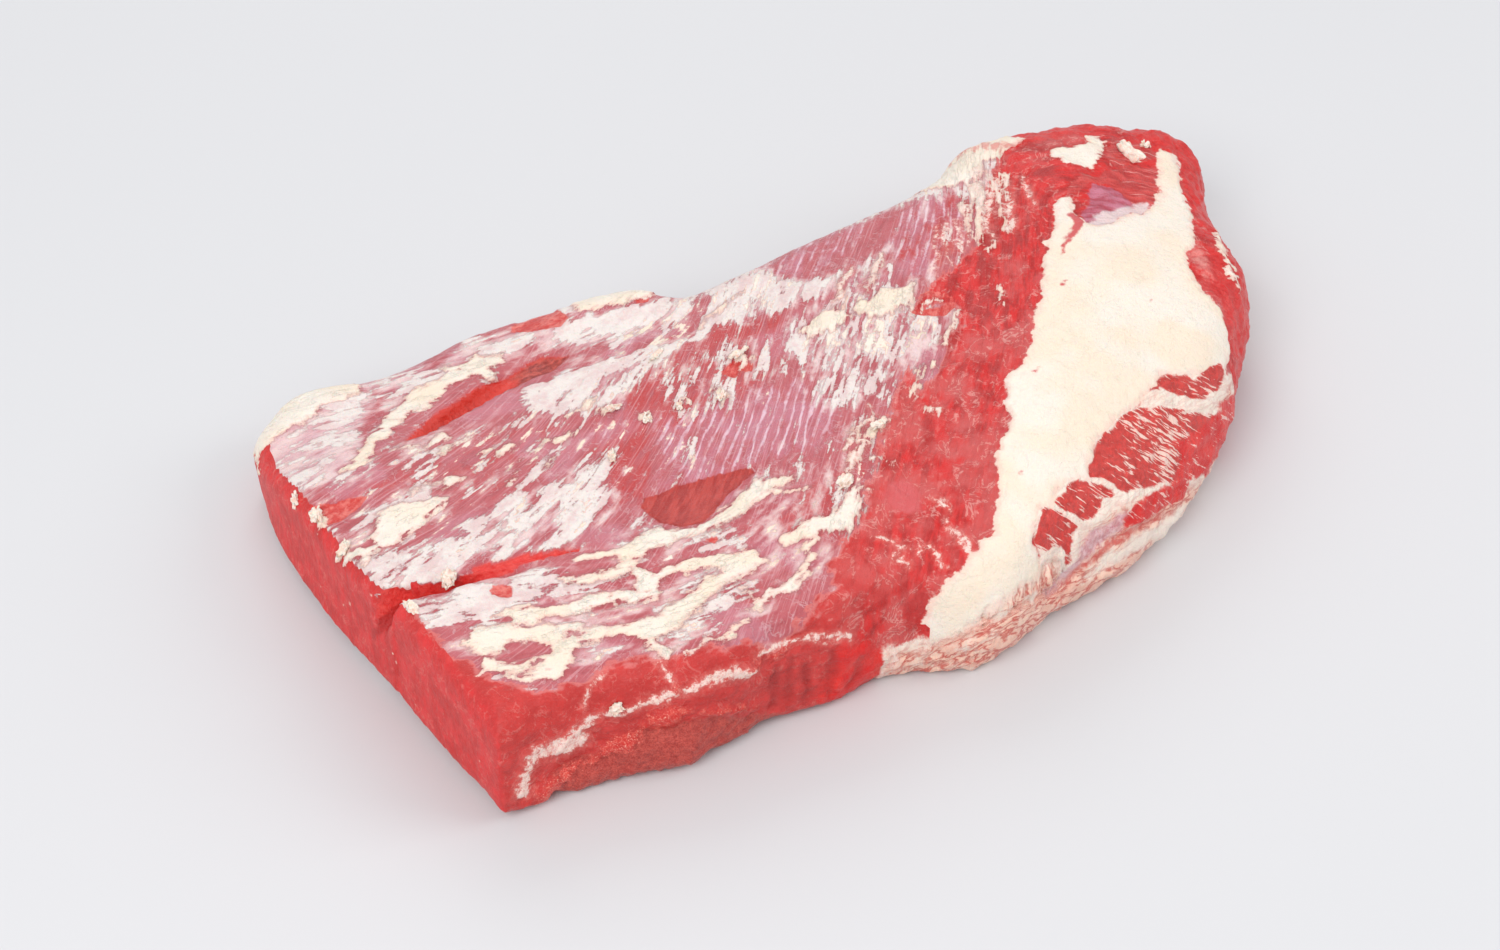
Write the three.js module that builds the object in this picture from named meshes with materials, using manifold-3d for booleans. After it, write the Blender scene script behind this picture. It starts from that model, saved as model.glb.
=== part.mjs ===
// Raw beef brisket, the whole cut with its flat and its point, lying on its fat side.
// Millimetres, +Z up. X runs from the sawn end of the flat to the round end of the point,
// Y from the front long edge to the back one, and the origin is under the middle of the meat,
// on the plane that it rests on.
import * as THREE from "three";
import { ImprovedNoise } from "three/addons/math/ImprovedNoise.js";
import { mergeGeometries, mergeVertices } from "three/addons/utils/BufferGeometryUtils.js";
import Module from "manifold-3d";

// ---------- How finely the skin is divided ----------
const COLUMNS = 64; // steps along the meat
const ROWS = 38; // steps across it
const WALL_RINGS = 6; // steps down its sides
const EDGE_CROWDING = 0.35; // 0 spaces the steps evenly, 1 crowds them at the edges
const AROUND = 2 * (COLUMNS + ROWS); // steps once round the outline

// ---------- Outline from above, each side as the points of a smooth curve ----------
const SIDES = {
  cutEnd: [[-207, -128], [-218, -74], [-231, -16], [-239, 34], [-244, 76], [-244, 108]],
  front: [[-207, -128], [-165, -123], [-116, -132], [-88, -125], [-56, -126], [-28, -122],
    [12, -134], [50, -121], [94, -110]],
  pointEnd: [[94, -110], [138, -88], [182, -52], [227, 2], [234, 38], [243, 70], [259, 103], [237, 129]],
  back: [[-244, 108], [-216, 131], [-176, 125], [-124, 134], [-78, 131], [-55, 129], [-37, 112],
    [-12, 113], [26, 118], [82, 121], [114, 128], [134, 144], [190, 146], [237, 129]],
};

// ---------- Thickness of the slab: rows from front to back, columns from cut end to point end ----------
const THICKNESS = [
  [58, 58, 60, 60, 56, 54],
  [58, 60, 64, 70, 68, 60],
  [48, 54, 60, 74, 76, 64],
  [32, 40, 52, 66, 74, 62],
];

// ---------- What each edge does, at even steps along its side ----------
// rim: height of the edge where the side wall begins; round: how far in the top rounds over;
// foot: how far the wall leans out (+) or tucks under (-) at the bottom.
const EDGES = {
  cutEnd: {
    rim: [46, 54, 52, 46, 38, 24],
    round: [12, 4, 3, 3, 4, 8],
    foot: [2, 5, 3, 6, 6, -2],
  },
  front: {
    rim: [46, 45, 45, 42, 32, 24, 20, 18],
    round: [12, 13, 12, 9, 14, 26, 34, 40],
    foot: [2, 1, 0, 0, -4, -6, -8, -8],
  },
  pointEnd: {
    rim: [18, 18, 22, 28, 34, 38, 42, 42],
    round: [40, 44, 40, 34, 28, 26, 26, 26],
    foot: [-8, -8, -10, -12, -14, -14, -16, -18],
  },
  back: {
    rim: [24, 26, 28, 32, 26, 22, 34, 42, 46, 42],
    round: [8, 10, 14, 18, 24, 26, 26, 26, 28, 26],
    foot: [-2, -14, -16, -18, -18, -18, -18, -20, -20, -18],
  },
};

// The walls lean away from, or tuck in towards, this line along the middle of the meat.
const CORE_LINE = [[-150, 0], [140, 20]];

// ---------- Relief of the top: furrows (depth > 0) and raised pads (depth < 0) ----------
const FURROWS = [
  // the bare valley between flat and point
  { path: [[137, 97], [84, 37], [42, -14], [14, -60]], reach: 17, depth: 3 },
  // the fat seam over the point
  { path: [[180, 74], [150, 20], [105, -40], [72, -84]], reach: 30, depth: -4 },
  // the muscle below the fat seam
  { path: [[150, -62], [118, -78], [86, -98]], reach: 14, depth: 2 },
  // the hollow at the head of the fat seam
  { path: [[160, 58], [184, 62]], reach: 11, depth: 3 },
  // the scooped patch of the flat
  { path: [[-98, -47], [-70, -43]], reach: 10, depth: 2.5 },
  // the scoop at the end of the slit near the back edge
  { path: [[-118, 89], [-104, 87]], reach: 10, depth: 3.5 },
  // the torn patch by the cut end
  { path: [[-230, 24], [-216, 26]], reach: 8, depth: 2 },
  // the fat lobe on the back edge
  { path: [[-92, 110], [-54, 106]], reach: 11, depth: -3 },
  // the fat lobe on the back corner
  { path: [[-236, 98], [-202, 112]], reach: 9, depth: -3 },
];
const LUMPS = { size: 42, height: 2.2 }; // broad unevenness of the top
const RIPPLES = { size: 17, height: 0.9 }; // smaller unevenness on it

// ---------- Knife slits in the top ----------
// width, depth and height of the lip are given at even steps along each.
// The far wall of a slit stands upright and its near wall slopes down to it.
const SLITS = [
  // from the cut end
  {
    path: [[-234, -41], [-222, -42], [-205, -46], [-187, -48], [-166, -49], [-142, -51]],
    width: [16, 15, 11, 9, 6, 1],
    depth: [30, 28, 20, 14, 9, 1],
    lip: [55, 56, 58, 59, 60, 61],
  },
  // near the back edge
  {
    path: [[-184, 62], [-162, 68], [-142, 75], [-122, 85], [-104, 88]],
    width: [1, 6, 8, 8, 2],
    depth: [1, 6, 8, 7, 1],
    lip: [50, 49, 50, 49, 50],
  },
];
const SLIT_STEPS = 16;
const SLIT_RISE = 6; // how far a cutter stands above the lips

const noise = new ImprovedNoise();
const wasm = await Module();
wasm.setup();

// Smooth curve through evenly spaced values, read at t from 0 to 1.
function blend(values, t) {
  return new THREE.SplineCurve(values.map((value, i) => new THREE.Vector2(i, value))).getPoint(t).y;
}

// Moves even steps towards both ends, so that the edges get more of them.
function crowd(t) {
  return THREE.MathUtils.clamp(t - (EDGE_CROWDING * Math.sin(2 * Math.PI * t)) / (2 * Math.PI), 0, 1);
}

const curves = {};
for (const [side, points] of Object.entries(SIDES)) {
  curves[side] = new THREE.SplineCurve(points.map(([x, y]) => new THREE.Vector2(x, y)));
}

// Place on the top, seen from above, for u along the meat and v across it.
function plan(u, v) {
  const front = curves.front.getPointAt(u);
  const back = curves.back.getPointAt(u);
  const cut = curves.cutEnd.getPointAt(v);
  const end = curves.pointEnd.getPointAt(v);
  const corners = new THREE.Vector2()
    .addScaledVector(curves.front.getPointAt(0), (1 - u) * (1 - v))
    .addScaledVector(curves.front.getPointAt(1), u * (1 - v))
    .addScaledVector(curves.back.getPointAt(0), (1 - u) * v)
    .addScaledVector(curves.back.getPointAt(1), u * v);
  return new THREE.Vector2()
    .addScaledVector(front, 1 - v)
    .addScaledVector(back, v)
    .addScaledVector(cut, 1 - u)
    .addScaledVector(end, u)
    .sub(corners);
}

// Distance from a point to a path of straight stretches.
function pathDistance(x, y, path) {
  let nearest = Infinity;
  for (let i = 1; i < path.length; i++) {
    const [ax, ay] = path[i - 1];
    const [dx, dy] = [path[i][0] - ax, path[i][1] - ay];
    const share = THREE.MathUtils.clamp(((x - ax) * dx + (y - ay) * dy) / (dx * dx + dy * dy), 0, 1);
    nearest = Math.min(nearest, Math.hypot(x - ax - share * dx, y - ay - share * dy));
  }
  return nearest;
}

function bumps({ size, height }, x, y) {
  return height * noise.noise(x / size, y / size, 0.5);
}

function relief(x, y) {
  let height = bumps(LUMPS, x, y) + bumps(RIPPLES, x, y);
  for (const { path, reach, depth } of FURROWS) {
    height -= depth * Math.exp(-((pathDistance(x, y, path) / reach) ** 2));
  }
  return height;
}

// Height of the top: the slab's thickness, rounded down to the rim of whichever side is near.
function topHeight(u, v) {
  const { x, y } = plan(u, v);
  const full = blend(THICKNESS.map((row) => blend(row, u)), v) + relief(x, y);
  const length = curves.cutEnd.getPointAt(v).distanceTo(curves.pointEnd.getPointAt(v));
  const width = curves.front.getPointAt(u).distanceTo(curves.back.getPointAt(u));
  const sides = [
    [EDGES.cutEnd, v, u * length],
    [EDGES.pointEnd, v, (1 - u) * length],
    [EDGES.front, u, v * width],
    [EDGES.back, u, (1 - v) * width],
  ];
  let height = full;
  for (const [edge, along, inward] of sides) {
    const rim = blend(edge.rim, along);
    const share = Math.min(inward / blend(edge.round, along), 1);
    height = Math.min(height, rim + (full - rim) * Math.sqrt(1 - (1 - share) ** 2));
  }
  return height;
}

// The side walls' top edge, once round the outline against the clock from the front cut corner.
function perimeter(step) {
  const onFront = crowd(step / COLUMNS);
  const onPoint = crowd((step - COLUMNS) / ROWS);
  const onBack = crowd(1 - (step - COLUMNS - ROWS) / COLUMNS);
  const onCut = crowd(1 - (step - 2 * COLUMNS - ROWS) / ROWS);
  if (step <= COLUMNS) return { u: onFront, v: 0, edge: EDGES.front, along: onFront };
  if (step <= COLUMNS + ROWS) return { u: 1, v: onPoint, edge: EDGES.pointEnd, along: onPoint };
  if (step <= 2 * COLUMNS + ROWS) return { u: onBack, v: 1, edge: EDGES.back, along: onBack };
  return { u: 0, v: onCut, edge: EDGES.cutEnd, along: onCut };
}

function topSkin() {
  const skin = new THREE.PlaneGeometry(1, 1, COLUMNS, ROWS);
  const { position } = skin.attributes;
  for (let i = 0; i < position.count; i++) {
    const u = crowd(Math.round((position.getX(i) + 0.5) * COLUMNS) / COLUMNS);
    const v = crowd(Math.round((position.getY(i) + 0.5) * ROWS) / ROWS);
    const { x, y } = plan(u, v);
    position.setXYZ(i, x, y, topHeight(u, v));
  }
  return skin;
}

// Direction out of the meat at a place on its outline, seen from above.
function outward(place) {
  const [start, end] = CORE_LINE.map(([x, y]) => new THREE.Vector3(x, y, 0));
  const outer = new THREE.Vector3(place.x, place.y, 0);
  const inner = new THREE.Line3(start, end).closestPointToPoint(outer, true, new THREE.Vector3());
  return new THREE.Vector2(outer.x - inner.x, outer.y - inner.y).normalize();
}

// Place on the side wall, for a step round the outline and a share of the way down.
function wallPoint(step, down) {
  const { u, v, edge, along } = perimeter(step % AROUND);
  const rim = plan(u, v);
  const foot = blend(edge.foot, along) * down ** 2;
  const place = rim.clone().addScaledVector(outward(rim), foot);
  return [place.x, place.y, topHeight(u, v) * (1 - down)];
}

function wallSkin() {
  const skin = new THREE.PlaneGeometry(1, 1, AROUND, WALL_RINGS);
  const { position } = skin.attributes;
  for (let i = 0; i < position.count; i++) {
    const step = Math.round((position.getX(i) + 0.5) * AROUND);
    position.setXYZ(i, ...wallPoint(step, 0.5 - position.getY(i)));
  }
  return skin;
}

// The flat underside: a disc whose rim is drawn out to the foot of the walls.
function restingFace() {
  const face = new THREE.CircleGeometry(1, AROUND);
  for (let step = 0; step <= AROUND; step++) {
    const [x, y] = wallPoint(step, 1);
    face.attributes.position.setXYZ(step + 1, x, y, 0);
  }
  face.index.array.reverse(); // the face looks down
  return face;
}

// One closed solid out of skins that meet at their edges.
function closedSolid(...skins) {
  for (const skin of skins) {
    skin.deleteAttribute("normal");
    skin.deleteAttribute("uv");
  }
  const { attributes, index } = mergeVertices(mergeGeometries(skins), 1e-3);
  return new wasm.Manifold(new wasm.Mesh({
    numProp: 3,
    vertProperties: attributes.position.array,
    triVerts: Uint32Array.from(index.array),
  }));
}

// What a knife slit takes away: a wedge drawn along the slit's path.
// In its section the levels 0, 1 and 2 are the bottom, the lips and the top.
function slitCutter({ path, width, depth, lip }) {
  const curve = new THREE.SplineCurve(path.map(([x, y]) => new THREE.Vector2(x, y)));
  const corners = [[-1, 1], [1, 0], [1, 2], [-1, 2]].map(([x, y]) => new THREE.Vector2(x, y));
  const extent = { steps: SLIT_STEPS, depth: 1, bevelEnabled: false };
  const cutter = new THREE.ExtrudeGeometry(new THREE.Shape(corners), extent);
  const { position } = cutter.attributes;
  for (let i = 0; i < position.count; i++) {
    const along = position.getZ(i);
    const across = (position.getX(i) * blend(width, along)) / 2;
    const lips = blend(lip, along);
    const levels = [lips - blend(depth, along), lips, lips + SLIT_RISE];
    const centre = curve.getPoint(along);
    const tangent = curve.getTangent(along);
    const height = levels[Math.round(position.getY(i))];
    position.setXYZ(i, centre.x - tangent.y * across, centre.y + tangent.x * across, height);
  }
  return closedSolid(cutter);
}

// Back to a geometry, with the origin under the middle of the meat.
function centredGeometry(solid) {
  const { vertProperties, triVerts } = solid.getMesh();
  const geometry = new THREE.BufferGeometry();
  geometry.setAttribute("position", new THREE.BufferAttribute(vertProperties, 3));
  geometry.setIndex(new THREE.BufferAttribute(triVerts, 1));
  geometry.computeBoundingBox();
  const { min, max } = geometry.boundingBox;
  return geometry.translate(-(min.x + max.x) / 2, -(min.y + max.y) / 2, -min.z);
}

let meat = closedSolid(topSkin(), wallSkin(), restingFace());
for (const slit of SLITS) meat = meat.subtract(slitCutter(slit));

const brisket = new THREE.Mesh(
  centredGeometry(meat),
  new THREE.MeshStandardMaterial({ color: 0xc4525a, roughness: 0.42, metalness: 0 }),
);
brisket.name = "brisket";

const part = new THREE.Group();
part.add(brisket);
export default part;
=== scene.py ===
"""Raw beef brisket: the meat's surface, the fat on it, the loose bits of fat, and the studio."""
import math

import bpy
import numpy as np
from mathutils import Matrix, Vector


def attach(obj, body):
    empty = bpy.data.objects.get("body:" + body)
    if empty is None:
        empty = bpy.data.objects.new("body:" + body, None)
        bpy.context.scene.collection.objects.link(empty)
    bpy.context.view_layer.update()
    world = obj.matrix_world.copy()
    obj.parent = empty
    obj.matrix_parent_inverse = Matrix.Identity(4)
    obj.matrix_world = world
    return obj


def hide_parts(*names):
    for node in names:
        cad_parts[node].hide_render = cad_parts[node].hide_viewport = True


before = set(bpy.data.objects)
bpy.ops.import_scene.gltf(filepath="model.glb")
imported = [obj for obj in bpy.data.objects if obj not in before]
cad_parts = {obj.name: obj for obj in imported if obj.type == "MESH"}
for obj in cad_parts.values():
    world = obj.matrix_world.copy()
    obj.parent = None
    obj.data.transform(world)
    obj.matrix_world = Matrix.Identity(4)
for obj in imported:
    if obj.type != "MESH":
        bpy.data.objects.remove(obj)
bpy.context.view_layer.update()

bl_info = {
    "name": "Raw beef brisket",
    "version": (1, 0, 0),
    "blender": (4, 5, 0),
    "location": "3D View > Sidebar > Brisket",
    "description": "Builds a raw brisket with its silverskin, fat and marbling",
    "category": "Object",
}

MM = 0.001

# What lies lower than this, in millimetres, is the underside.
UNDERSIDE = 0.6

# ---------------------------------------------------------------------------------------
# Where things lie on the meat, in millimetres seen from above. X runs from the cut end of
# the flat to the round end of the point, Y from the front long edge to the back one.
# A patch is an outline; a streak is a line with half its width at each point.
# ---------------------------------------------------------------------------------------

# The silverskin that covers the flat. What lies outside it, and isn't fat, is bare meat.
SILVERSKIN = [
    (-244, -10), (-232, -50), (-222, -61), (-219, -80), (-212, -99), (-204, -113), (-190, -122),
    (-176, -124), (-163, -121), (-150, -121), (-138, -124), (-120, -128), (-98, -130), (-76, -128),
    (-60, -119), (-56, -108), (-48, -100), (-36, -94), (-28, -86), (-22, -76), (-12, -66), (-8, -56),
    (0, -46), (9, -35), (20, -22), (27, -15), (31, -18), (24, -31), (34, -26), (46, -16), (57, -4),
    (64, 6), (66, 16), (58, 17), (46, 16), (54, 24), (62, 33), (75, 38), (86, 45), (98, 52), (107, 62),
    (112, 74), (120, 84), (128, 96), (138, 106), (146, 120), (134, 140), (60, 140), (-60, 140),
    (-255, 140), (-255, 20)]

# Bare, saturated red places inside the silverskin.
BARE_PATCHES = {
    "scooped oval": [
        (-110, -37), (-113, -42), (-113, -49), (-109, -56), (-103, -62), (-95, -64), (-87, -60),
        (-79, -53), (-71, -48), (-60, -45), (-64, -40), (-78, -38), (-92, -37), (-106, -38)],
    "spot by the slit": [(-190, -66), (-187, -62), (-183, -62), (-181, -66), (-184, -71), (-188, -69)],
    "torn patch by the cut end": [
        (-240, 28), (-234, 28), (-224, 25), (-216, 23), (-222, 18), (-230, 14), (-239, 14)],
    "back tear": [(-118, 112), (-112, 122), (-94, 122), (-92, 102), (-98, 98), (-110, 104)],
    "tear by the curl": [(-47, 25), (-42, 30), (-36, 30), (-31, 24), (-34, 19), (-39, 22), (-43, 18)],
    "tear in the back band": [(-62, 96), (-57, 101), (-52, 100), (-54, 95)],
    "pit": [(-97, -74), (-94, -74), (-92, -76), (-95, -78)],
}

# Narrow red tears beside the pale middle.
RED_CURLS = [
    ([(46, 17), (52, 14), (58, 12), (64, 14), (67, 19)], [1.2, 2.4, 3.0, 2.4, 0.8]),
    ([(55, 25), (60, 26), (66, 22)], [0.8, 1.6, 1.2]),
]

# Milky film of thin fat and torn fascia: how much of the place opaque film covers, how strong the
# haze over the rest is, and the outline.
FILM = {
    "back corner": (0.6, 1.35, [
        (-252, 56), (-248, 92), (-215, 100), (-195, 106), (-190, 94), (-200, 80), (-206, 66), (-214, 52),
        (-226, 42), (-240, 40), (-248, 48)]),
    "back strip": (0.42, 0.75, [
        (-198, 100), (-194, 124), (-140, 124), (-120, 110), (-106, 100), (-130, 96), (-150, 95),
        (-170, 92), (-190, 94)]),
    "beside the corner streak": (0.5, 0.6, [
        (-240, 34), (-226, 46), (-205, 50), (-190, 52), (-170, 54), (-165, 46), (-180, 40), (-200, 36),
        (-215, 32), (-238, 30)]),
    "above the gash": (0.66, 0.7, [
        (-190, 80), (-176, 78), (-160, 84), (-146, 90), (-132, 96), (-110, 98), (-104, 88), (-92, 96),
        (-104, 104), (-130, 106), (-150, 104), (-172, 98), (-190, 92)]),
    "below the gash": (0.5, 0.5, [
        (-186, 44), (-160, 46), (-134, 50), (-118, 58), (-108, 70), (-96, 74), (-100, 60), (-120, 44),
        (-150, 38), (-180, 38)]),
    "upper band": (1.2, 0.95, [
        (-54, 59), (-48, 64), (-43, 71), (-36, 82), (-24, 90), (-6, 92), (6, 88), (2, 74), (-10, 60),
        (-15, 53), (-24, 53), (-28, 62), (-36, 58), (-50, 53)]),
    "back band": (0.94, 0.9, [
        (-136, 53), (-131, 58), (-121, 63), (-112, 65), (-102, 63), (-93, 63), (-84, 64), (-77, 61),
        (-68, 62), (-54, 63), (-48, 67), (-43, 73), (-34, 82), (-20, 86), (-5, 82), (8, 74), (17, 66),
        (26, 58), (14, 47), (0, 49), (-15, 52), (-26, 58), (-38, 58), (-50, 54), (-64, 48), (-72, 42),
        (-86, 34), (-94, 29), (-109, 27), (-119, 30), (-127, 32), (-133, 46)]),
    "over the gash": (0.62, 0.9, [
        (-143, 96), (-137, 116), (-117, 112), (-105, 104), (-86, 96), (-66, 96), (-52, 90), (-40, 96),
        (-20, 104), (4, 100), (12, 82), (-5, 80), (-20, 84), (-34, 80), (-48, 66), (-60, 64), (-74, 66),
        (-92, 72), (-100, 77), (-103, 85), (-110, 91), (-124, 91), (-131, 92)]),
    "below the back lobe": (1.15, 1.0, [
        (-102, 99), (-86, 101), (-70, 96), (-58, 95), (-46, 94), (-44, 84), (-56, 76), (-70, 76),
        (-84, 80), (-98, 82)]),
    "back strip, middle": (0.7, 1.0, [
        (-110, 98), (-92, 104), (-60, 108), (-30, 104), (0, 104), (20, 98), (34, 106), (20, 118),
        (-30, 116), (-50, 110), (-84, 116), (-108, 110)]),
    "left middle": (0.62, 0.7, [
        (-232, 2), (-226, 12), (-208, 16), (-190, 20), (-178, 12), (-180, 4), (-190, -4), (-206, -12),
        (-222, -10)]),
    "left of the torn patch": (0.5, 0.6, [
        (-246, 44), (-240, 30), (-242, 14), (-240, -8), (-232, -6), (-236, 12), (-234, 36)]),
    "along the cut edge": (0.8, 0.75, [
        (-238, -12), (-228, -15), (-214, -19), (-204, -24), (-190, -28), (-183, -19), (-176, -12),
        (-170, -9), (-162, -13), (-155, -12), (-148, -10), (-140, -9), (-134, -14), (-130, -24),
        (-125, -35), (-128, -42), (-140, -48), (-152, -52), (-165, -51), (-184, -49), (-205, -48),
        (-234, -44), (-238, -28)]),
    "right of the cut edge veil": (0.58, 0.8, [
        (-136, -4), (-124, -4), (-112, 0), (-110, -8), (-118, -20), (-122, -34), (-126, -44), (-140, -46),
        (-136, -26)]),
    "under the slit": (0.78, 0.8, [
        (-226, -58), (-205, -58), (-185, -57), (-166, -57), (-158, -62), (-160, -74), (-170, -79),
        (-184, -82), (-196, -78), (-206, -76), (-215, -78), (-224, -72)]),
    "front of the flat": (0.34, 0.5, [
        (-208, -78), (-160, -66), (-150, -56), (-120, -56), (-100, -64), (-70, -58), (-48, -50),
        (-30, -60), (-24, -74), (-34, -92), (-52, -104), (-64, -118), (-100, -124), (-136, -124),
        (-190, -120), (-210, -104)]),
    "front corner": (0.6, 0.95, [
        (-208, -82), (-180, -82), (-160, -90), (-150, -104), (-160, -116), (-196, -118), (-208, -104)]),
    "front left of the oval": (0.7, 0.7, [
        (-136, -46), (-122, -42), (-114, -46), (-110, -58), (-116, -64), (-134, -62)]),
    "under the oval": (0.85, 0.8, [
        (-124, -60), (-108, -61), (-96, -66), (-84, -62), (-70, -52), (-58, -46), (-50, -50), (-56, -62),
        (-76, -70), (-100, -74), (-124, -72)]),
    "right of the lines": (0.66, 0.75, [
        (-24, -16), (-14, -2), (0, -2), (16, -6), (30, -8), (14, -24), (0, -32), (-12, -30)]),
    "pale middle": (0.66, 0.8, [
        (-14, 26), (-6, 38), (8, 44), (24, 46), (44, 42), (62, 34), (48, 22), (66, 14), (56, -4),
        (30, -14), (8, -10), (-8, -4), (-16, 12)]),
    "upper right": (0.56, 0.7, [
        (12, 50), (24, 64), (44, 68), (60, 66), (54, 54), (46, 44), (28, 42), (16, 46)]),
    "back shoulder": (0.8, 0.9, [
        (30, 108), (56, 96), (84, 96), (100, 94), (116, 104), (136, 108), (136, 124), (100, 112),
        (60, 112)]),
    "back right": (0.6, 1.0, [
        (90, 90), (126, 88), (150, 104), (166, 116), (160, 130), (130, 130), (98, 118)]),
    "right comb": (0.42, 0.5, [
        (96, 56), (104, 74), (110, 92), (130, 98), (128, 78), (116, 58), (104, 44)]),
    "middle flecks": (0.48, 0.4, [
        (-80, 30), (-60, 46), (-40, 50), (-20, 40), (-20, 10), (-40, 0), (-70, 0)]),
    "band edge": (0.5, 0.4, [
        (-30, -72), (-20, -56), (-4, -42), (8, -34), (18, -24), (6, -26), (-10, -36), (-26, -50),
        (-40, -62)]),
    "left flecks": (0.42, 0.3, [
        (-200, 44), (-150, 44), (-120, 36), (-118, 12), (-150, -6), (-180, 0), (-200, 14)]),
}

# Clearings in the film.
CLEARINGS = [
    [(-186, 30), (-160, 36), (-134, 34), (-126, 26), (-150, 16), (-184, 20)],
    [(-60, 60), (-50, 74), (-34, 84), (-24, 84), (-34, 72), (-46, 60)],
    [(-102, 64), (-97, 70), (-89, 73), (-84, 70), (-87, 65), (-94, 63)],
    [(-82, 62), (-74, 70), (-64, 77), (-55, 82), (-54, 78), (-63, 69), (-72, 62)],
    [(-122, -38), (-114, -16), (-104, 0), (-92, 8), (-94, -8), (-108, -34)],
]

# Redder meat under the skin; elsewhere it is mauve.
RED_PLACES = {
    "long tear": (1.4, [
        (-124, -38), (-117, -24), (-113, -10), (-106, 2), (-98, 12), (-86, 18), (-86, 6), (-94, -6),
        (-102, -20), (-111, -36)]),
    "middle": (0.9, [
        (-112, 16), (-100, 44), (-64, 62), (-30, 62), (-6, 52), (-12, 28), (-34, 6), (-56, -2), (-84, 0),
        (-100, -10), (-112, -30), (-122, -34), (-120, -10)]),
    "left": (0.5, [
        (-236, 30), (-200, 34), (-150, 40), (-120, 30), (-124, 0), (-160, -8), (-190, -8), (-210, 16)]),
    "back": (0.7, [(-140, 112), (-120, 124), (-90, 124), (-88, 100), (-112, 98)]),
    "back strip": (0.5, [(10, 112), (60, 120), (100, 122), (110, 112), (60, 108), (20, 106)]),
    "upper right": (0.95, [(56, 40), (100, 50), (122, 90), (104, 98), (86, 82), (60, 60)]),
    "behind the band": (0.8, [
        (-60, -106), (-40, -96), (-24, -76), (-10, -58), (-30, -56), (-56, -66), (-80, -76), (-70, -96)]),
    "front edge": (0.5, [(-60, -118), (-80, -124), (-110, -120), (-100, -108), (-70, -104)]),
    "back middle": (0.6, [(-30, 52), (-10, 66), (10, 62), (16, 50), (0, 46)]),
}

# Where fine pale lines run side by side along the fibres.
RULED_PLACES = {
    "middle": (1.0, [
        (-104, -36), (-66, -46), (-24, -44), (-4, -30), (-14, 0), (-46, 14), (-84, 10), (-100, -8)]),
    "upper right": (0.8, [(58, 34), (84, 38), (104, 52), (122, 88), (104, 100), (74, 92), (52, 66)]),
    "back": (0.8, [(2, 62), (30, 66), (60, 84), (62, 104), (20, 104), (-4, 88)]),
    "back left": (0.6, [(-90, 62), (-60, 60), (-30, 76), (0, 100), (-40, 104), (-76, 92)]),
    "all over": (0.35, [(-200, 30), (-60, 62), (40, 70), (60, 20), (-10, -40), (-120, -50), (-200, 0)]),
}

# Where cream flecks are scattered.
CREAMY_PLACES = {
    "front of the flat": (0.36, [
        (-208, -80), (-150, -62), (-90, -60), (-44, -56), (-24, -72), (-40, -98), (-64, -118),
        (-140, -122), (-200, -118)]),
    "pale middle": (0.6, [(-10, 20), (0, 40), (30, 42), (60, 34), (56, 0), (10, -10)]),
    "back band": (0.5, [
        (-134, 44), (-100, 60), (-60, 88), (-10, 98), (12, 84), (10, 50), (-40, 60), (-90, 36)]),
    "band edge": (0.68, [(-30, -72), (-22, -52), (-4, -38), (8, -34), (-4, -52), (-20, -74)]),
    "right comb": (0.55, [(96, 56), (108, 90), (130, 98), (124, 70), (106, 46)]),
    "flat": (0.3, [
        (-240, 40), (-130, 60), (-20, 60), (-10, 0), (-60, -40), (-130, -40), (-200, -40), (-240, 0)]),
    "left flecks": (0.5, [(-196, 50), (-150, 44), (-126, 30), (-130, 6), (-180, 4), (-196, 14)]),
    "back shoulder": (0.7, [(40, 102), (100, 96), (134, 106), (130, 130), (60, 118)]),
}

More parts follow.
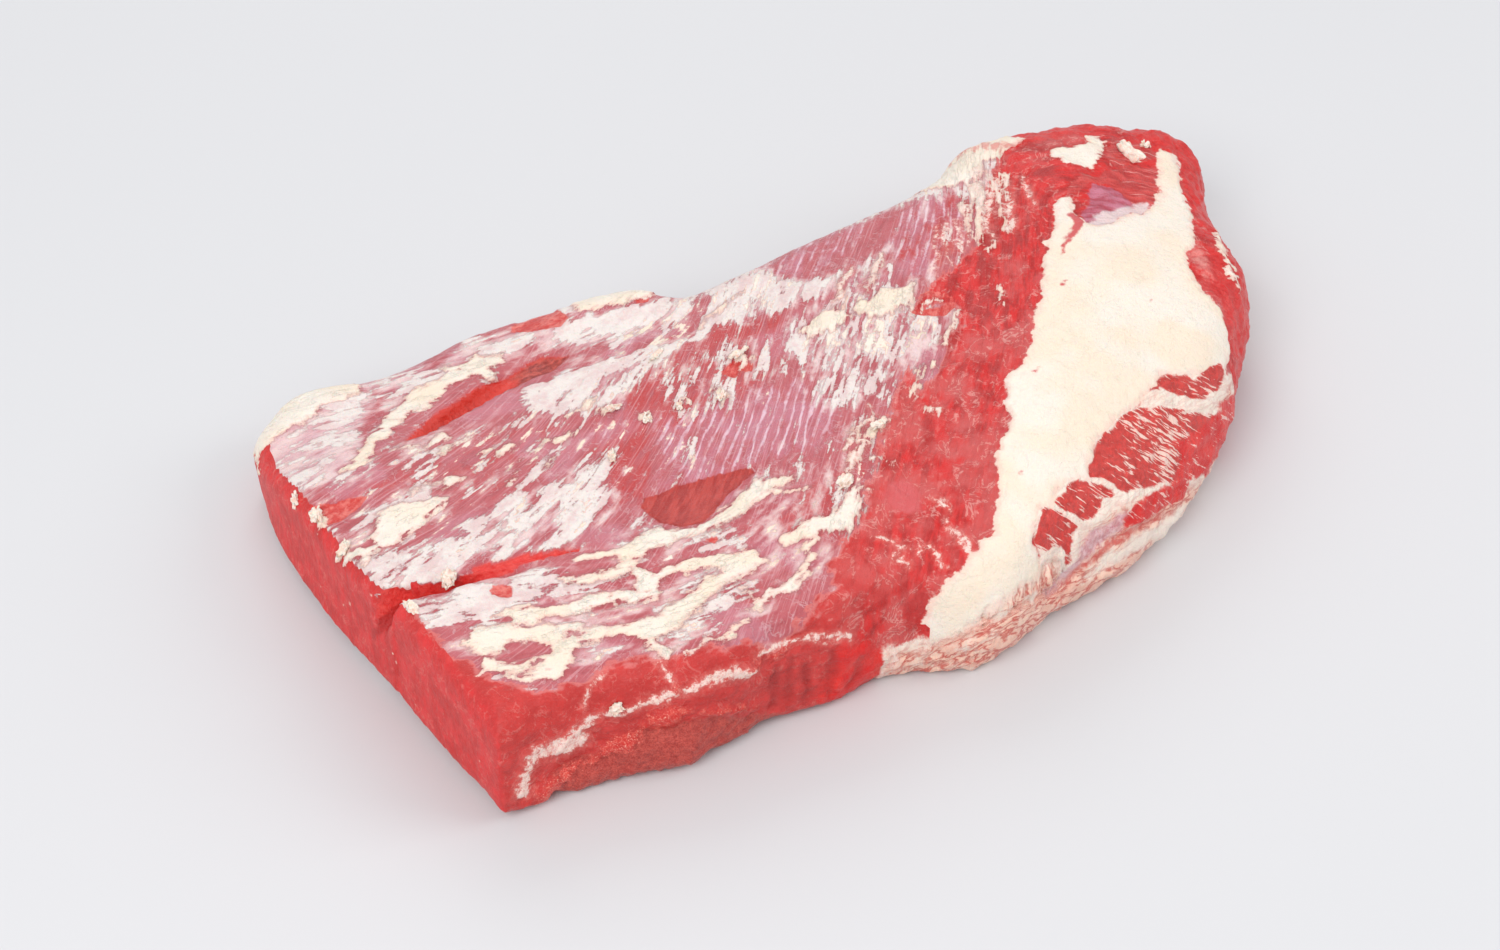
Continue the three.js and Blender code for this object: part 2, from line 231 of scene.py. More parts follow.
# Opaque cream fat in patches.
FAT_PATCHES = {
    "back corner lobe": [
        (-256, 96), (-250, 122), (-230, 134), (-200, 132), (-196, 118), (-195, 104), (-202, 104),
        (-210, 101), (-217, 97), (-226, 93), (-234, 90), (-242, 89), (-250, 90)],
    "corner streak": [
        (-222, 44), (-216, 41), (-208, 44), (-203, 52), (-197, 60), (-188, 69), (-180, 75), (-172, 74),
        (-163, 78), (-158, 84), (-148, 86), (-141, 80), (-136, 84), (-131, 90), (-128, 96), (-136, 97),
        (-138, 103), (-144, 98), (-150, 96), (-155, 102), (-157, 96), (-162, 91), (-170, 92), (-178, 88),
        (-188, 80), (-198, 69), (-204, 62), (-212, 53)],
    "left middle": [
        (-220, 2), (-216, 9), (-208, 10), (-201, 6), (-190, 5), (-186, 1), (-197, -5), (-207, -12),
        (-216, -16), (-223, -13), (-224, -6)],
    "flap over the cut edge": [
        (-240, -10), (-236, -16), (-232, -17), (-231, -24), (-228, -22), (-227, -18), (-222, -17),
        (-222, -13), (-230, -11), (-236, -9)],
    "back lobe": [
        (-84, 104), (-86, 112), (-78, 124), (-60, 128), (-50, 118), (-46, 106), (-50, 99), (-58, 97),
        (-67, 98), (-77, 101)],
    "front chunk": [
        (-207, -85), (-202, -81), (-198, -84), (-190, -85), (-182, -87), (-172, -92), (-164, -95),
        (-158, -100), (-150, -103), (-140, -104), (-134, -104), (-130, -112), (-140, -115), (-148, -111),
        (-156, -106), (-164, -106), (-170, -110), (-174, -116), (-186, -120), (-196, -116), (-200, -111),
        (-205, -107), (-210, -105), (-206, -98)],
    "middle lower chunk": [
        (-71, -88), (-56, -84), (-45, -83), (-36, -80), (-30, -74), (-27, -79), (-32, -90), (-42, -96),
        (-52, -94), (-60, -92), (-68, -94)],
    "flake in the middle": [(-37, 37), (-30, 34), (-30, 28), (-34, 26), (-41, 21), (-38, 30)],
    "pale middle left": [(-6, 30), (6, 38), (18, 36), (20, 26), (10, 22), (0, 22)],
    "pale middle right": [(22, 32), (40, 36), (56, 34), (50, 28), (46, 20), (34, 20), (24, 24)],
    "back right": [
        (92, 110), (100, 102), (107, 98), (119, 97), (127, 98), (130, 105), (139, 108), (150, 114),
        (159, 118), (158, 126), (148, 134), (130, 140), (112, 136), (100, 126)],
    "top right cream": [
        (166, 102), (173, 105), (177, 100), (187, 104), (191, 110), (196, 108), (198, 102), (191, 93),
        (178, 81), (172, 83), (167, 88), (164, 95)],
}

# The mottled upper edge of the right back lobe.
MOTTLED_EDGE = ([(104, 124), (118, 130), (134, 124), (146, 116), (158, 112)], [4, 6, 6, 5, 4])

# Small pinkish specks in the fat seam.
SEAM_SPECKS = [
    ([(74, -48), (77, -46)], [1.6, 1.0]),
    ([(40, -98), (41, -97)], [1.3, 1.0]),
    ([(44, -73), (47, -72)], [1.2, 1.6]),
    ([(114, -1), (117, 1)], [1.6, 1.2]),
    ([(106, 8), (110, 10)], [1.0, 1.8]),
    ([(150, -20), (152, -19)], [0.7, 0.6]),
]

# Holes in the fat, with the skin showing.
HOLES = [
    [(-203, -97), (-194, -95), (-181, -99), (-176, -104), (-184, -107), (-197, -104)],
    [(-198, -109), (-186, -110), (-188, -113), (-196, -113)],
    [(-170, -98), (-160, -100), (-164, -103), (-172, -102)],
    [(-128, -76), (-112, -74), (-100, -76), (-104, -80), (-122, -82)],
]

# The broad seam of fat between the two muscles.
FAT_SEAM = [
    (154, 63), (147, 61), (138, 48), (129, 36), (122, 29), (116, 21), (109, 9), (102, -3), (95, -11),
    (88, -22), (79, -35), (70, -41), (61, -46), (56, -53), (52, -62), (49, -70), (40, -79), (33, -87),
    (29, -97), (25, -107), (17, -118), (6, -125), (-6, -127), (-24, -130), (-34, -142), (40, -142),
    (36, -128), (32, -127), (39, -117), (46, -115), (55, -107), (62, -104), (70, -104), (74, -98),
    (82, -90), (88, -86), (96, -80), (104, -78), (112, -75), (120, -70), (127, -66), (131, -61),
    (140, -58), (150, -61), (166, -58), (178, -50), (185, -38), (188, -28), (184, -18), (182, -6),
    (187, 6), (193, 12), (201, 21), (209, 35), (213, 48), (217, 60), (225, 74), (231, 88), (224, 92),
    (214, 80), (206, 68), (200, 53), (190, 45), (176, 41), (162, 36), (152, 34), (149, 40), (149, 48),
    (154, 56)]

# Streaks of cream fat: line and half width.
FAT_STREAKS = {
    "long smear in front": (
        [(-190, -78), (-178, -83), (-165, -86), (-152, -87), (-140, -90), (-128, -95)],
        [2, 4, 3, 3.5, 4, 2]),
    "smear under the slit end": (
        [(-160, -72), (-149, -73), (-139, -75), (-131, -75), (-127, -84), (-128, -92)],
        [1.5, 3, 2.5, 3.5, 3.5, 2]),
    "smear towards the oval": (
        [(-150, -62), (-140, -63), (-131, -67), (-122, -64), (-112, -63)],
        [1.5, 2, 3.5, 4, 3]),
    "under the oval": (
        [(-126, -68), (-112, -66), (-100, -68), (-88, -68), (-77, -63), (-64, -56), (-51, -57)],
        [4, 3.5, 2.5, 3, 4.5, 4, 2.5]),
    "under the oval, right arm": ([(-66, -58), (-58, -64), (-46, -66)], [3, 1.5, 0.8]),
    "second smear": (
        [(-132, -88), (-121, -86), (-112, -83), (-104, -87), (-92, -91), (-82, -93)],
        [3, 3.5, 3.5, 3.5, 4, 3.5]),
    "third smear": (
        [(-140, -113), (-129, -110), (-119, -106), (-109, -101), (-98, -98), (-87, -95)],
        [4, 5, 4.5, 4.5, 4.5, 3.5]),
    "third smear tail": ([(-140, -113), (-139, -119), (-136, -125)], [3, 2, 1.5]),
    "front lower smear": (
        [(-96, -118), (-86, -115), (-75, -114), (-67, -109), (-61, -101), (-56, -94)],
        [0.8, 2, 2.5, 2.5, 2, 2]),
    "front lower branch": ([(-92, -115), (-94, -108), (-95, -102)], [0.8, 0.6, 0.5]),
    "grey edge streak": ([(-128, -127), (-112, -126), (-98, -124)], [1.2, 1, 0.6]),
    "band strand 1": (
        [(-28, -66), (-23, -60), (-16, -56), (-12, -52), (-16, -49)],
        [1.2, 2.2, 2.4, 2, 1.2]),
    "band strand 2": ([(-22, -52), (-16, -47), (-8, -43), (-2, -38), (1, -33)], [1, 1.4, 1.2, 1, 0.6]),
    "band strand 3": ([(-10, -50), (-3, -46), (4, -43)], [1.6, 2.2, 1]),
    "band strand 4": ([(-18, -68), (-15, -62), (-10, -63), (-6, -69)], [0.7, 1, 0.8, 0.6]),
    "band strand 5": ([(-30, -80), (-26, -76), (-22, -79)], [1.4, 1.4, 0.8]),
    "band strand 6": ([(21, -33), (26, -28), (32, -21), (41, -16)], [1, 1.4, 1, 0.6]),
    "band strand 7": ([(21, -42), (25, -44), (29, -48)], [1.6, 1.2, 0.8]),
    "band strand 8": ([(50, -10), (58, 0), (66, 10)], [1.6, 1.4, 0.8]),
    "band strand 9": ([(82, 0), (86, 8), (88, 14)], [0.9, 1.2, 0.7]),
    "comb 1": ([(119, 93), (113, 78), (106, 64), (99, 50)], [2.6, 2.8, 2.2, 1]),
    "comb 2": ([(129, 92), (123, 76), (117, 60), (113, 46)], [1.8, 1.6, 1.2, 1]),
    "comb 3": ([(108, 84), (102, 68), (97, 55)], [1.2, 1.2, 1.6]),
    "comb 4": ([(104, 48), (101, 44)], [1.8, 2]),
    "comb 5": ([(136, 96), (131, 84), (127, 74)], [1.4, 1.6, 0.8]),
    "sliver by the right end": ([(220, 33), (208, 9), (207, -3), (206, -12)], [0.8, 1.8, 1.8, 1]),
    "chip beside the tear": ([(-88, 16), (-89, 11)], [1.6, 2]),
    "chip in the middle": ([(-70, 16), (-69, 11)], [1, 1.6]),
    "chip to the right": ([(-54, 15), (-52, 10), (-54, 5)], [1.2, 2, 1.2]),
    "chip by the back band": ([(-105, 26), (-101, 24)], [2.6, 2.2]),
    "back band flecks": ([(-120, 30), (-112, 33), (-104, 36)], [0.8, 1.4, 0.8]),
    "left fleck 1": ([(-182, 41), (-178, 44), (-173, 45)], [1, 2.6, 2.6]),
    "left fleck 2": ([(-178, 34), (-174, 36)], [1.6, 1.6]),
    "left fleck 3": ([(-172, 20), (-165, 24), (-158, 27)], [0.8, 1.6, 1.4]),
    "left fleck 4": ([(-155, 22), (-150, 25)], [2.4, 3]),
    "left fleck 5": ([(-190, 11), (-184, 8), (-181, 14), (-176, 12)], [1, 2, 2.4, 1.2]),
    "left fleck 6": ([(-200, 13), (-193, 17), (-187, 16)], [0.5, 0.9, 0.8]),
    "left fleck 7": ([(-159, -5), (-154, 6), (-148, 12)], [0.7, 1, 0.6]),
    "left fleck 8": ([(-141, 2), (-136, 6)], [1.2, 1.4]),
    "left fleck 9": ([(-134, 19), (-127, 17), (-120, 18)], [2.2, 3, 1.6]),
    "left fleck 10": ([(-196, 46), (-190, 47), (-186, 46)], [1.2, 1.4, 1]),
    "cut end fleck": ([(-240, 22), (-239, 16)], [1.6, 1.8]),
    "upper window bar": ([(-40, 64), (-28, 70), (-14, 76)], [1, 1.6, 1]),
    "hanging strand": ([(36, 60), (26, 50), (18, 40)], [1.2, 1.6, 1]),
    "hanging strand 2": ([(52, 62), (42, 50), (32, 40)], [1, 1.2, 0.8]),
    "red flap rim": ([(62, 20), (54, 20), (48, 17)], [0.9, 1, 0.6]),
}

# Thin strands of fat and sinew seen from above. A few run down the middle of a streak.
STRANDS = [
    ([(124, 103), (118, 86), (111, 69), (103, 45)], [0.9, 1.2, 1.0, 0.6]),
    ([(129, 98), (119, 79), (107, 58)], [0.9, 1.2, 0.8]),
    ([(134, 89), (124, 66), (114, 48)], [0.9, 0.9, 1.0]),
    ([(131, 94), (124, 75), (119, 62)], [0.7, 0.8, 0.6]),
    ([(143, 89), (135, 65)], [0.7, 0.4]),
    ([(108, 81), (92, 51)], [0.7, 0.4]),
    ([(98, 73), (87, 50)], [0.5, 0.4]),
    ([(92, 71), (77, 42)], [0.5, 0.4]),
    ([(85, 69), (68, 37)], [0.5, 0.4]),
    ([(36, 60), (26, 50), (18, 40)], [1.0, 1.0, 0.7]),
    ([(-29, -102), (-26, -106), (-23, -112), (-28, -116), (-24, -121)], [0.7, 0.9, 0.8, 0.8, 0.6]),
    ([(-18, -116), (-12, -116), (-11, -121), (-10, -124)], [0.7, 0.9, 0.7, 0.5]),
    ([(0, -106), (1, -113), (4, -120), (3, -124)], [0.6, 0.8, 1.0, 1.0]),
    ([(4, -96), (4, -102)], [0.6, 0.8]),
    ([(23, -43), (26, -45), (30, -47)], [0.7, 1.0, 0.6]),
    ([(52, 62), (42, 50), (32, 40)], [0.8, 0.8, 0.6]),
    ([(-28, -66), (-23, -60), (-16, -56), (-12, -52), (-16, -49)], [0.8, 1.2, 1.2, 1.0, 0.8]),
    ([(-22, -52), (-16, -47), (-8, -43), (-2, -38), (1, -33)], [0.8, 1.0, 0.9, 0.8, 0.6]),
]

# The side that faces forward is laid out in a slanted plane: u runs to the right along it and v
# up it. The plane leans back as far as the camera looks down on its target.
TURN, TILT = math.radians(-24), math.radians(42)
TARGET = (-47.8, -9.6, 28)

# The marbled muscle at the round end, block by block.
MUSCLE = {
    "near block": [
        (85, -13), (84, -17), (82, -22), (81, -26), (83, -29), (86, -31), (89, -29), (93, -28), (95, -31),
        (96, -37), (98, -35), (98, -30), (99, -24), (101, -20), (98, -17), (93, -14), (89, -13)],
    "second block": [
        (99, -1), (97, -3), (95, -6), (90, -10), (93, -12), (99, -15), (104, -18), (109, -16), (113, -11),
        (113, -9), (110, -7), (118, -8), (118, -5), (112, -2), (106, -1)],
    "main block": [
        (107, 5), (107, 2), (111, 1), (116, -1), (120, -5), (125, -6), (128, -4), (134, -4), (140, -2),
        (149, -1), (156, 1), (163, 3), (167, 6), (169, 11), (172, 16), (175, 20), (176, 25), (174, 28),
        (168, 30), (161, 30), (155, 31), (148, 32), (140, 31), (134, 32), (127, 28), (122, 25), (120, 22),
        (115, 20), (112, 15), (109, 8)],
    "upper slip": [
        (143, 44), (150, 48), (158, 47), (164, 44), (169, 41), (168, 37), (160, 36), (154, 37),
        (147, 40)],
    "upper corner": [(163, 44), (169, 50), (177, 54), (180, 48), (174, 40), (168, 39)],
}

# Where the muscle has more pale lines than elsewhere, or fewer: how many, and the outline.
MARBLING = {
    "near block": (-0.25, [(84, -14), (84, -28), (98, -28), (100, -16)]),
    "second block": (0.05, [(92, -6), (104, -18), (114, -10), (118, -5), (100, -1)]),
    "top of the main block": (0.42, [(122, 26), (128, 14), (146, 20), (166, 30), (148, 33), (130, 32)]),
    "right of the main block": (0.5, [(132, 8), (146, 0), (160, 4), (166, 20), (150, 26), (140, 18)]),
    "upper": (-0.5, [(144, 46), (176, 50), (176, 38), (150, 38)]),
}

# Red meat round the muscle, and the lavender, red and white stretches of the cap below it.
RED_STRIPS = [
    [
        (123, -17), (127, -12), (132, -8), (139, -5), (148, -1), (155, 1), (158, -2), (155, -8),
        (146, -12), (137, -16), (130, -20), (124, -20)],
    [
        (152, 0), (151, 4), (155, 8), (152, 12), (148, 17), (154, 18), (162, 21), (172, 28), (179, 34),
        (187, 40), (194, 46), (192, 34), (184, 22), (175, 10), (168, 2), (158, 0)],
    [(176, 34), (180, 37), (184, 37), (183, 31), (181, 27), (179, 24), (177, 21), (175, 25), (178, 31)],
]
LAVENDER = (
    [(88, -49), (98, -40), (104, -33), (109, -26), (116, -22), (122, -18), (128, -14)],
    [1, 1.6, 2.4, 3.4, 3.6, 3, 1])
RED_CREASE = (
    [(96, -45), (104, -38), (110, -34), (116, -29), (121, -26), (127, -23), (133, -20), (142, -16),
     (151, -14)],
    [0.6, 1.0, 1.2, 1.4, 1.4, 1.2, 1.0, 0.8, 0.5])
WHITE_CAP = [
    (108, -45), (115, -39), (121, -36), (130, -32), (140, -29), (150, -24), (160, -10), (150, -14),
    (140, -21), (129, -25), (124, -29), (117, -32), (112, -36)]

# The wrinkled cap as it faces forward, and the part of it whose wrinkles stand upright.
CAP_EDGE = [
    (15, -70), (19, -68), (28, -68), (37, -67), (42, -65), (48, -63), (53, -59), (59, -53), (62, -49),
    (66, -46), (73, -43), (81, -39), (82, -30), (82, -14), (90, -8), (97, 0), (107, 6), (112, 18),
    (122, 27), (134, 34), (144, 40), (146, 48), (160, 49), (176, 53), (186, 48), (196, 20), (200, -70),
    (150, -120), (15, -120)]
FRINGE = [
    (37, -69), (48, -65), (56, -61), (63, -59), (70, -56), (76, -52), (81, -50), (87, -49), (93, -45),
    (97, -40), (92, -34), (82, -34), (73, -42), (66, -46), (59, -53), (53, -59), (45, -64)]

# The front of the flat: the pale ledge along it, its grainy face, and the torn lumps on that.
LEDGE = [
    ([(-132, -127), (-131, -122), (-130, -118), (-128, -113), (-124, -109)], [2.2, 1.8, 1.3, 1.0, 1.8]),
    ([(-122, -109), (-115, -108), (-108, -105)], [2.6, 3.2, 2.4]),
    ([(-112, -103), (-108, -101), (-104, -100)], [0.8, 1.4, 0.8]),
    ([(-105, -97), (-95, -94), (-87, -92), (-75, -88), (-71, -86)], [0.8, 0.8, 0.6, 1.0, 1.2]),
    ([(-66, -85), (-59, -82), (-52, -80), (-45, -79), (-39, -78)], [1.0, 1.8, 2.2, 2.2, 1.2]),
    ([(-37, -73), (-34, -70), (-29, -68), (-18, -66), (-5, -65), (2, -66)],
     [0.7, 0.6, 0.8, 0.5, 0.7, 0.6]),
    ([(-99, -79), (-103, -82), (-105, -86), (-106, -90)], [0.1, 0.1, 0.1, 0.1]),
    ([(-78, -72), (-74, -78), (-70, -82)], [0.1, 0.1, 0.1]),
    ([(21, -70), (21, -78), (16, -86), (6, -92)], [0.8, 1.0, 1.0, 0.8]),
]
GRAINY_FACE = [
    (-119, -119), (-112, -115), (-103, -111), (-96, -106), (-84, -101), (-74, -102), (-66, -99),
    (-52, -98), (-39, -99), (-28, -99), (-26, -106), (-30, -124), (-60, -140), (-126, -150), (-128, -134),
    (-123, -130)]
LUMPS = [
    ([(-129, -139), (-127, -133), (-123, -127), (-117, -121), (-110, -116)], [2.5, 3.5, 2.5, 1.4, 1.0]),
    ([(-106, -114), (-97, -109), (-90, -106), (-84, -102)], [0.8, 2.4, 3.0, 0.8]),
    ([(-83, -101), (-78, -98), (-73, -96), (-66, -94)], [1.4, 3.2, 3.0, 0.8]),
    ([(-60, -95), (-48, -94), (-38, -95)], [0.8, 1.4, 0.8]),
    ([(-71, -85), (-69, -83)], [2, 1.6]),
    ([(-40, -77), (-37, -75)], [2, 1.5]),
    ([(-30, -72), (-27, -70)], [2.2, 1.5]),
]

# To the right of it: the lean tongue beside the seam of fat, a dark patch, and the shiny red bulge
# with its folds, which are sunk a little and darkened with painted shade.
LEAN_TONGUE = [
    (62, -18), (57, -23), (54, -26), (51, -30), (49, -35), (45, -41), (41, -46), (37, -50), (34, -56),
    (31, -62), (27, -65), (22, -66), (10, -70), (0, -66), (0, -40), (20, -16)]
DARK_PATCH = [(25, -58), (25, -53), (31, -48), (36, -49), (37, -51), (34, -56), (30, -64), (26, -65)]
BULGE = [
    (-2, -67), (11, -69), (20, -72), (20, -77), (16, -83), (8, -90), (-4, -96), (-12, -92), (-6, -80)]
FOLDS = [
    ([(-15, -78), (-15, -85), (-17, -94)], [0.8, 1.8, 1.0]),
    ([(-29, -78), (-29, -86), (-31, -96)], [0.8, 1.6, 1.0]),
    ([(-5, -72), (-5, -80), (-8, -90)], [0.8, 1.6, 0.8]),
    ([(-22, -74), (-23, -82), (-24, -92)], [0.5, 1.0, 0.5]),
    ([(6, -74), (5, -82), (2, -88)], [0.5, 0.9, 0.5]),
]

# Where the flat's corner and upper front edge are rounded off.
SHOULDER_CORNER = ([(-206, -117), (-201, -120)], [16, 16])
SHOULDER_EDGE = ([(-202, -118), (-160, -124), (-110, -130), (-70, -124)], [16, 14, 12, 8])

# The two knife slits: line, half width and height of the lips.
SLITS = {
    "from the cut end": (
        [(-242, -47), (-228, -48), (-211, -52), (-193, -54), (-172, -55), (-144, -57)],
        [9, 8, 6, 5, 3.5, 1.5], 55),
    "near the back edge": (
        [(-190, 55), (-168, 61), (-148, 68), (-128, 78), (-110, 81)],
        [2, 5, 6, 6, 3], 47),
}

# The near lip of the front slit, and how far it leans over the slit.
NEAR_LIP = ([(-240, -57), (-222, -58), (-205, -59), (-186, -59)], [5, 9, 10, 6])
LIP_LEAN = 3.6

# Where the front slit opens on the cut end, in the slanted view, which is darkened with painted
# shade, and the corner that the skin folds over there.
SLIT_MOUTH = (
    [(-186, -54), (-190, -58), (-194, -61), (-197, -64), (-200, -67)],
    [1.6, 2.4, 2.4, 1.8, 0.8])
FOLDED_CORNER = ([(-238, -16), (-232, -42)], [6, 8])

# The shallow end of the front slit.
SLIT_TAIL = ([(-190, -49), (-178, -50), (-168, -51), (-158, -53), (-148, -56)], [2.2, 1.9, 1.6, 1.2, 0.6])

# Pinker places: one in the bare band, and one along the right edge of the fat seam.
PINK_PATCH = [(-14, -78), (-6, -78), (-3, -88), (-7, -97), (-15, -96), (-20, -87)]
PINK_EDGE = ([(197, 16), (192, 4), (189, -6)], [3, 4.5, 2.5])

# The dark muscle and violet silverskin at the head of the fat seam, and the red notch beside them.
DARK_MUSCLE = [
    (153, 63), (161, 65), (172, 70), (180, 67), (183, 59), (186, 51), (192, 45), (198, 49), (207, 65),
    (210, 76), (205, 80), (193, 80), (180, 76), (169, 75), (161, 71)]
DARK_BACK = [(198, 100), (206, 101), (215, 96), (221, 89), (218, 83), (208, 83), (190, 82), (189, 87)]
VIOLET = [
    (171, 69), (177, 67), (182, 60), (185, 52), (174, 47), (163, 45), (152, 38), (146, 34), (150, 46),
    (160, 56)]
VIOLET_VEIL = [
    (142, 33), (150, 39), (162, 47), (176, 50), (188, 52), (190, 45), (176, 40), (160, 35), (148, 31)]
RED_NOTCH = ([(146, 46), (145, 40), (139, 33), (132, 27), (125, 19)], [2.2, 2.5, 1.9, 1.1, 0.4])

# Flecks of fat on the cut end: x, y, height and radius.
CUT_FLECKS = [
    (-239, -17, 30, 1.1), (-245, 11, 17, 0.8), (-234, -37, 51, 1.1), (-240, 22, 48, 2.2),
    (-248, 45, 26, 0.9), (-240, -11, 24, 0.8), (-231, -53, 29, 0.9), (-216, -119, 24, 0.9),
    (-230, -56, 25, 0.9), (-238, 5, 38, 0.7), (-226, -80, 40, 0.8), (-222, -92, 28, 0.7),
    (-228, -70, 14, 0.7)]

# Loose bits come down from this height, and in front of this y they stay on the slope.
OVERHEAD = 200
FRONT_SLOPE = -125

# Loose bits of fat lying on the meat: x, y, length, width, thickness and heading in degrees.
BITS = {
    "block": (205, 90, 15, 9, 4.2, 105),
    "crumb beside the block": (216, 94, 5, 4, 3, 20),
    "crumb over the slit": (-203, -49, 10, 5.5, 4.5, 70),
    "crumb on the shoulder": (-161, -130.5, 5.5, 4, 3, 10),
    "curl in the middle": (-34, 32, 9, 5, 2.4, 20),
    "curl under it": (-54, 8, 6, 3.5, 2.0, 60),
    "flake by the back band": (-68, 52, 8, 3.5, 2.2, 40),
    "flake left of the middle": (-101, 24, 7, 3.5, 2.2, 20),
    "second flake there": (-89, 11, 6, 4, 2.2, 70),
    "third flake there": (-73, 12, 5, 3, 2, 60),
    "chunk by the cut end": (-240, 21, 8, 4.5, 3, 80),
    "flake at the cut edge": (-236, -7, 9, 4.5, 2.6, 10),
    "flake at the corner": (-244, 41, 6, 3.5, 2.4, 40),
    "edge flake by the slit": (-222, -59, 7, 4, 2.4, 110),
    "band flake": (-2, -46, 10, 4.5, 2.4, 45),
    "second band flake": (-30, -71, 8, 5, 2.4, 30),
    "flake by the oval": (-113, -7, 7, 3, 2, 60),
}

# Heading of the fibres in degrees at each x, and of the smears along the front edge and the fibres
# along the back one.
FIBRES = [
    (-260, 16), (-200, 20), (-170, 26), (-140, 34), (-110, 43), (-84, 48), (-56, 53), (0, 52), (30, 50),
    (70, 53), (100, 58), (140, 60), (160, -20), (240, -35)]
SMEARS = [(-210, -10), (-150, -8), (-110, 2), (-80, 16), (-50, 30), (-20, 45)]
BACK_FIBRES = [(-260, 0), (-200, -6), (-140, -6), (-100, 8), (-60, 26), (-20, 46), (60, 60)]

# Heading of the marbling and of the cap's wrinkles in the slanted plane, and the step from one
# ruled line to the next.
MARBLING_WAY = [(60, -30), (130, -31), (150, -30), (175, -16)]
CAP_SLOPE = math.radians(27)
RULED_STEP = 5.4

# What stands out or lies deep: place, the depths inside it where that starts and is full, and how
# far it stands out.
RELIEF = (
    ("slit tail", -0.6, 1.2, -1.8),
    ("grain", -1.0, 2.0, -0.9),
    ("ledge", -1.5, 1.0, 0.5),
    ("lump", -1.5, 2.5, 2.4),
    ("bulge", -2, 6, 1.6),
    ("folds", -2, 2, -1.2),
    ("lavender", -3, 1, -0.9),
    ("red crease", -1.5, 1, -0.8),
    ("muscle", -1.0, 1.2, -0.9),
    ("red strip", -1, 2, 0.5),
    ("cut fleck", -0.8, 0.6, 0.6),
)

# The gash near the back edge: x, the y of its lower lip, and its width.
GASH = [
    (-190, 51, 1), (-180, 53, 8), (-171, 56, 12), (-160, 59, 12), (-149, 62, 14), (-140, 65, 14),
    (-130, 67, 15), (-120, 70, 16), (-113, 70, 17), (-107, 73, 9), (-102, 76, 1)]


# ---------------------------------------------------------------------------------------
# Settings that a user would change
# ---------------------------------------------------------------------------------------
def srgb(red, green, blue):
    """Screen colour from 0 to 255 as a linear one."""
    def linear(value):
        share = value / 255
        return share / 12.92 if share <= 0.04045 else ((share + 0.055) / 1.055) ** 2.4
    return tuple(linear(value) for value in (red, green, blue))


def colour(name, description, default):
    return bpy.props.FloatVectorProperty(
        name=name, description=description, default=default, subtype="COLOR", size=3, min=0, max=1)


class BrisketMeat(bpy.types.PropertyGroup):
    grain: bpy.props.FloatProperty(
        name="Surface step", description="Distance between the points of the meat's surface",
        default=1.67 * MM, min=1 * MM, max=4 * MM, subtype="DISTANCE", unit="LENGTH")
    fat_height: bpy.props.FloatProperty(
        name="Fat height", description="How far the smeared fat stands above the silverskin",
        default=0.9 * MM, min=0, max=3 * MM, subtype="DISTANCE", unit="LENGTH")
    seam_height: bpy.props.FloatProperty(
        name="Seam height", description="How far the fat seam stands above the bare meat",
        default=1.6 * MM, min=0, max=4 * MM, subtype="DISTANCE", unit="LENGTH")
    lean: colour("Lean", "Freshly cut lean meat", srgb(222, 50, 50))
    bare: colour("Bare meat", "Wet red meat between the flat and the point", srgb(206, 34, 32))
    dark: colour("Dark meat", "Meat of the marbled muscle", srgb(182, 52, 46))
    skin: colour("Silverskin", "Thin skin over the flat", srgb(190, 94, 100))
    film: colour("Film", "Milky film on the silverskin", srgb(236, 227, 220))
    fat: colour("Fat", "Cream fat", srgb(243, 232, 218))
    cap: colour("Fat cap", "Pinkish fat round the bottom", srgb(255, 200, 178))


class BrisketStage(bpy.types.PropertyGroup):
    floor: colour("Floor", "Pale studio floor", (0.66, 0.66, 0.67))
    light: bpy.props.FloatProperty(
        name="Light", description="Strength of the key light", default=26, min=0, max=200, unit="POWER")
    lens: bpy.props.FloatProperty(
        name="Lens", description="Focal length of the camera in millimetres", default=60, min=20, max=200)
    distance: bpy.props.FloatProperty(
        name="Distance", description="From the camera to the meat", default=1.1364, min=0.3,
        subtype="DISTANCE", unit="LENGTH")


# ---------------------------------------------------------------------------------------
# Depths, noise and ways along the meat, in millimetres; a depth is positive inside a place
# ---------------------------------------------------------------------------------------
# The depth of what lies too far off to matter.
FAR = -20.0

# How many random slopes the noise picks from, and what mixes a corner's three numbers into a pick.
SLOPES = 4096
MIXERS = np.array([73856093, 19349663, 83492791])


def nearby(points, outline, margin=20.0):
    """Indices of the points that lie near an outline's box."""
    corners = np.array(outline, float)
    low, high = corners.min(0) - margin, corners.max(0) + margin
    return np.nonzero(((points >= low) & (points <= high)).all(1))[0]


def segment(points, start, end):
    """Distance to a straight stretch, and the share of it where that is nearest."""
    along = end - start
    share = np.clip(((points - start) @ along) / max(along @ along, 1e-9), 0, 1)
    return np.linalg.norm(points - start - share[:, None] * along, axis=1), share


def patch_depth(points, outline):
    """How deep inside an outline each point lies."""
    result = np.full(len(points), FAR)
    index = nearby(points, outline)
    near = points[index]
    corners = np.array(outline, float)
    distance = np.full(len(near), -FAR)
    inside = np.zeros(len(near), bool)
    for start, end in zip(corners, np.roll(corners, -1, axis=0)):
        distance = np.minimum(distance, segment(near, start, end)[0])
        crosses = (start[1] > near[:, 1]) != (end[1] > near[:, 1])
        slope = (end[0] - start[0]) / ((end[1] - start[1]) or 1e-9)
        inside ^= crosses & (near[:, 0] < start[0] + slope * (near[:, 1] - start[1]))
    result[index] = np.where(inside, distance, -distance)
    return np.maximum(result, FAR)


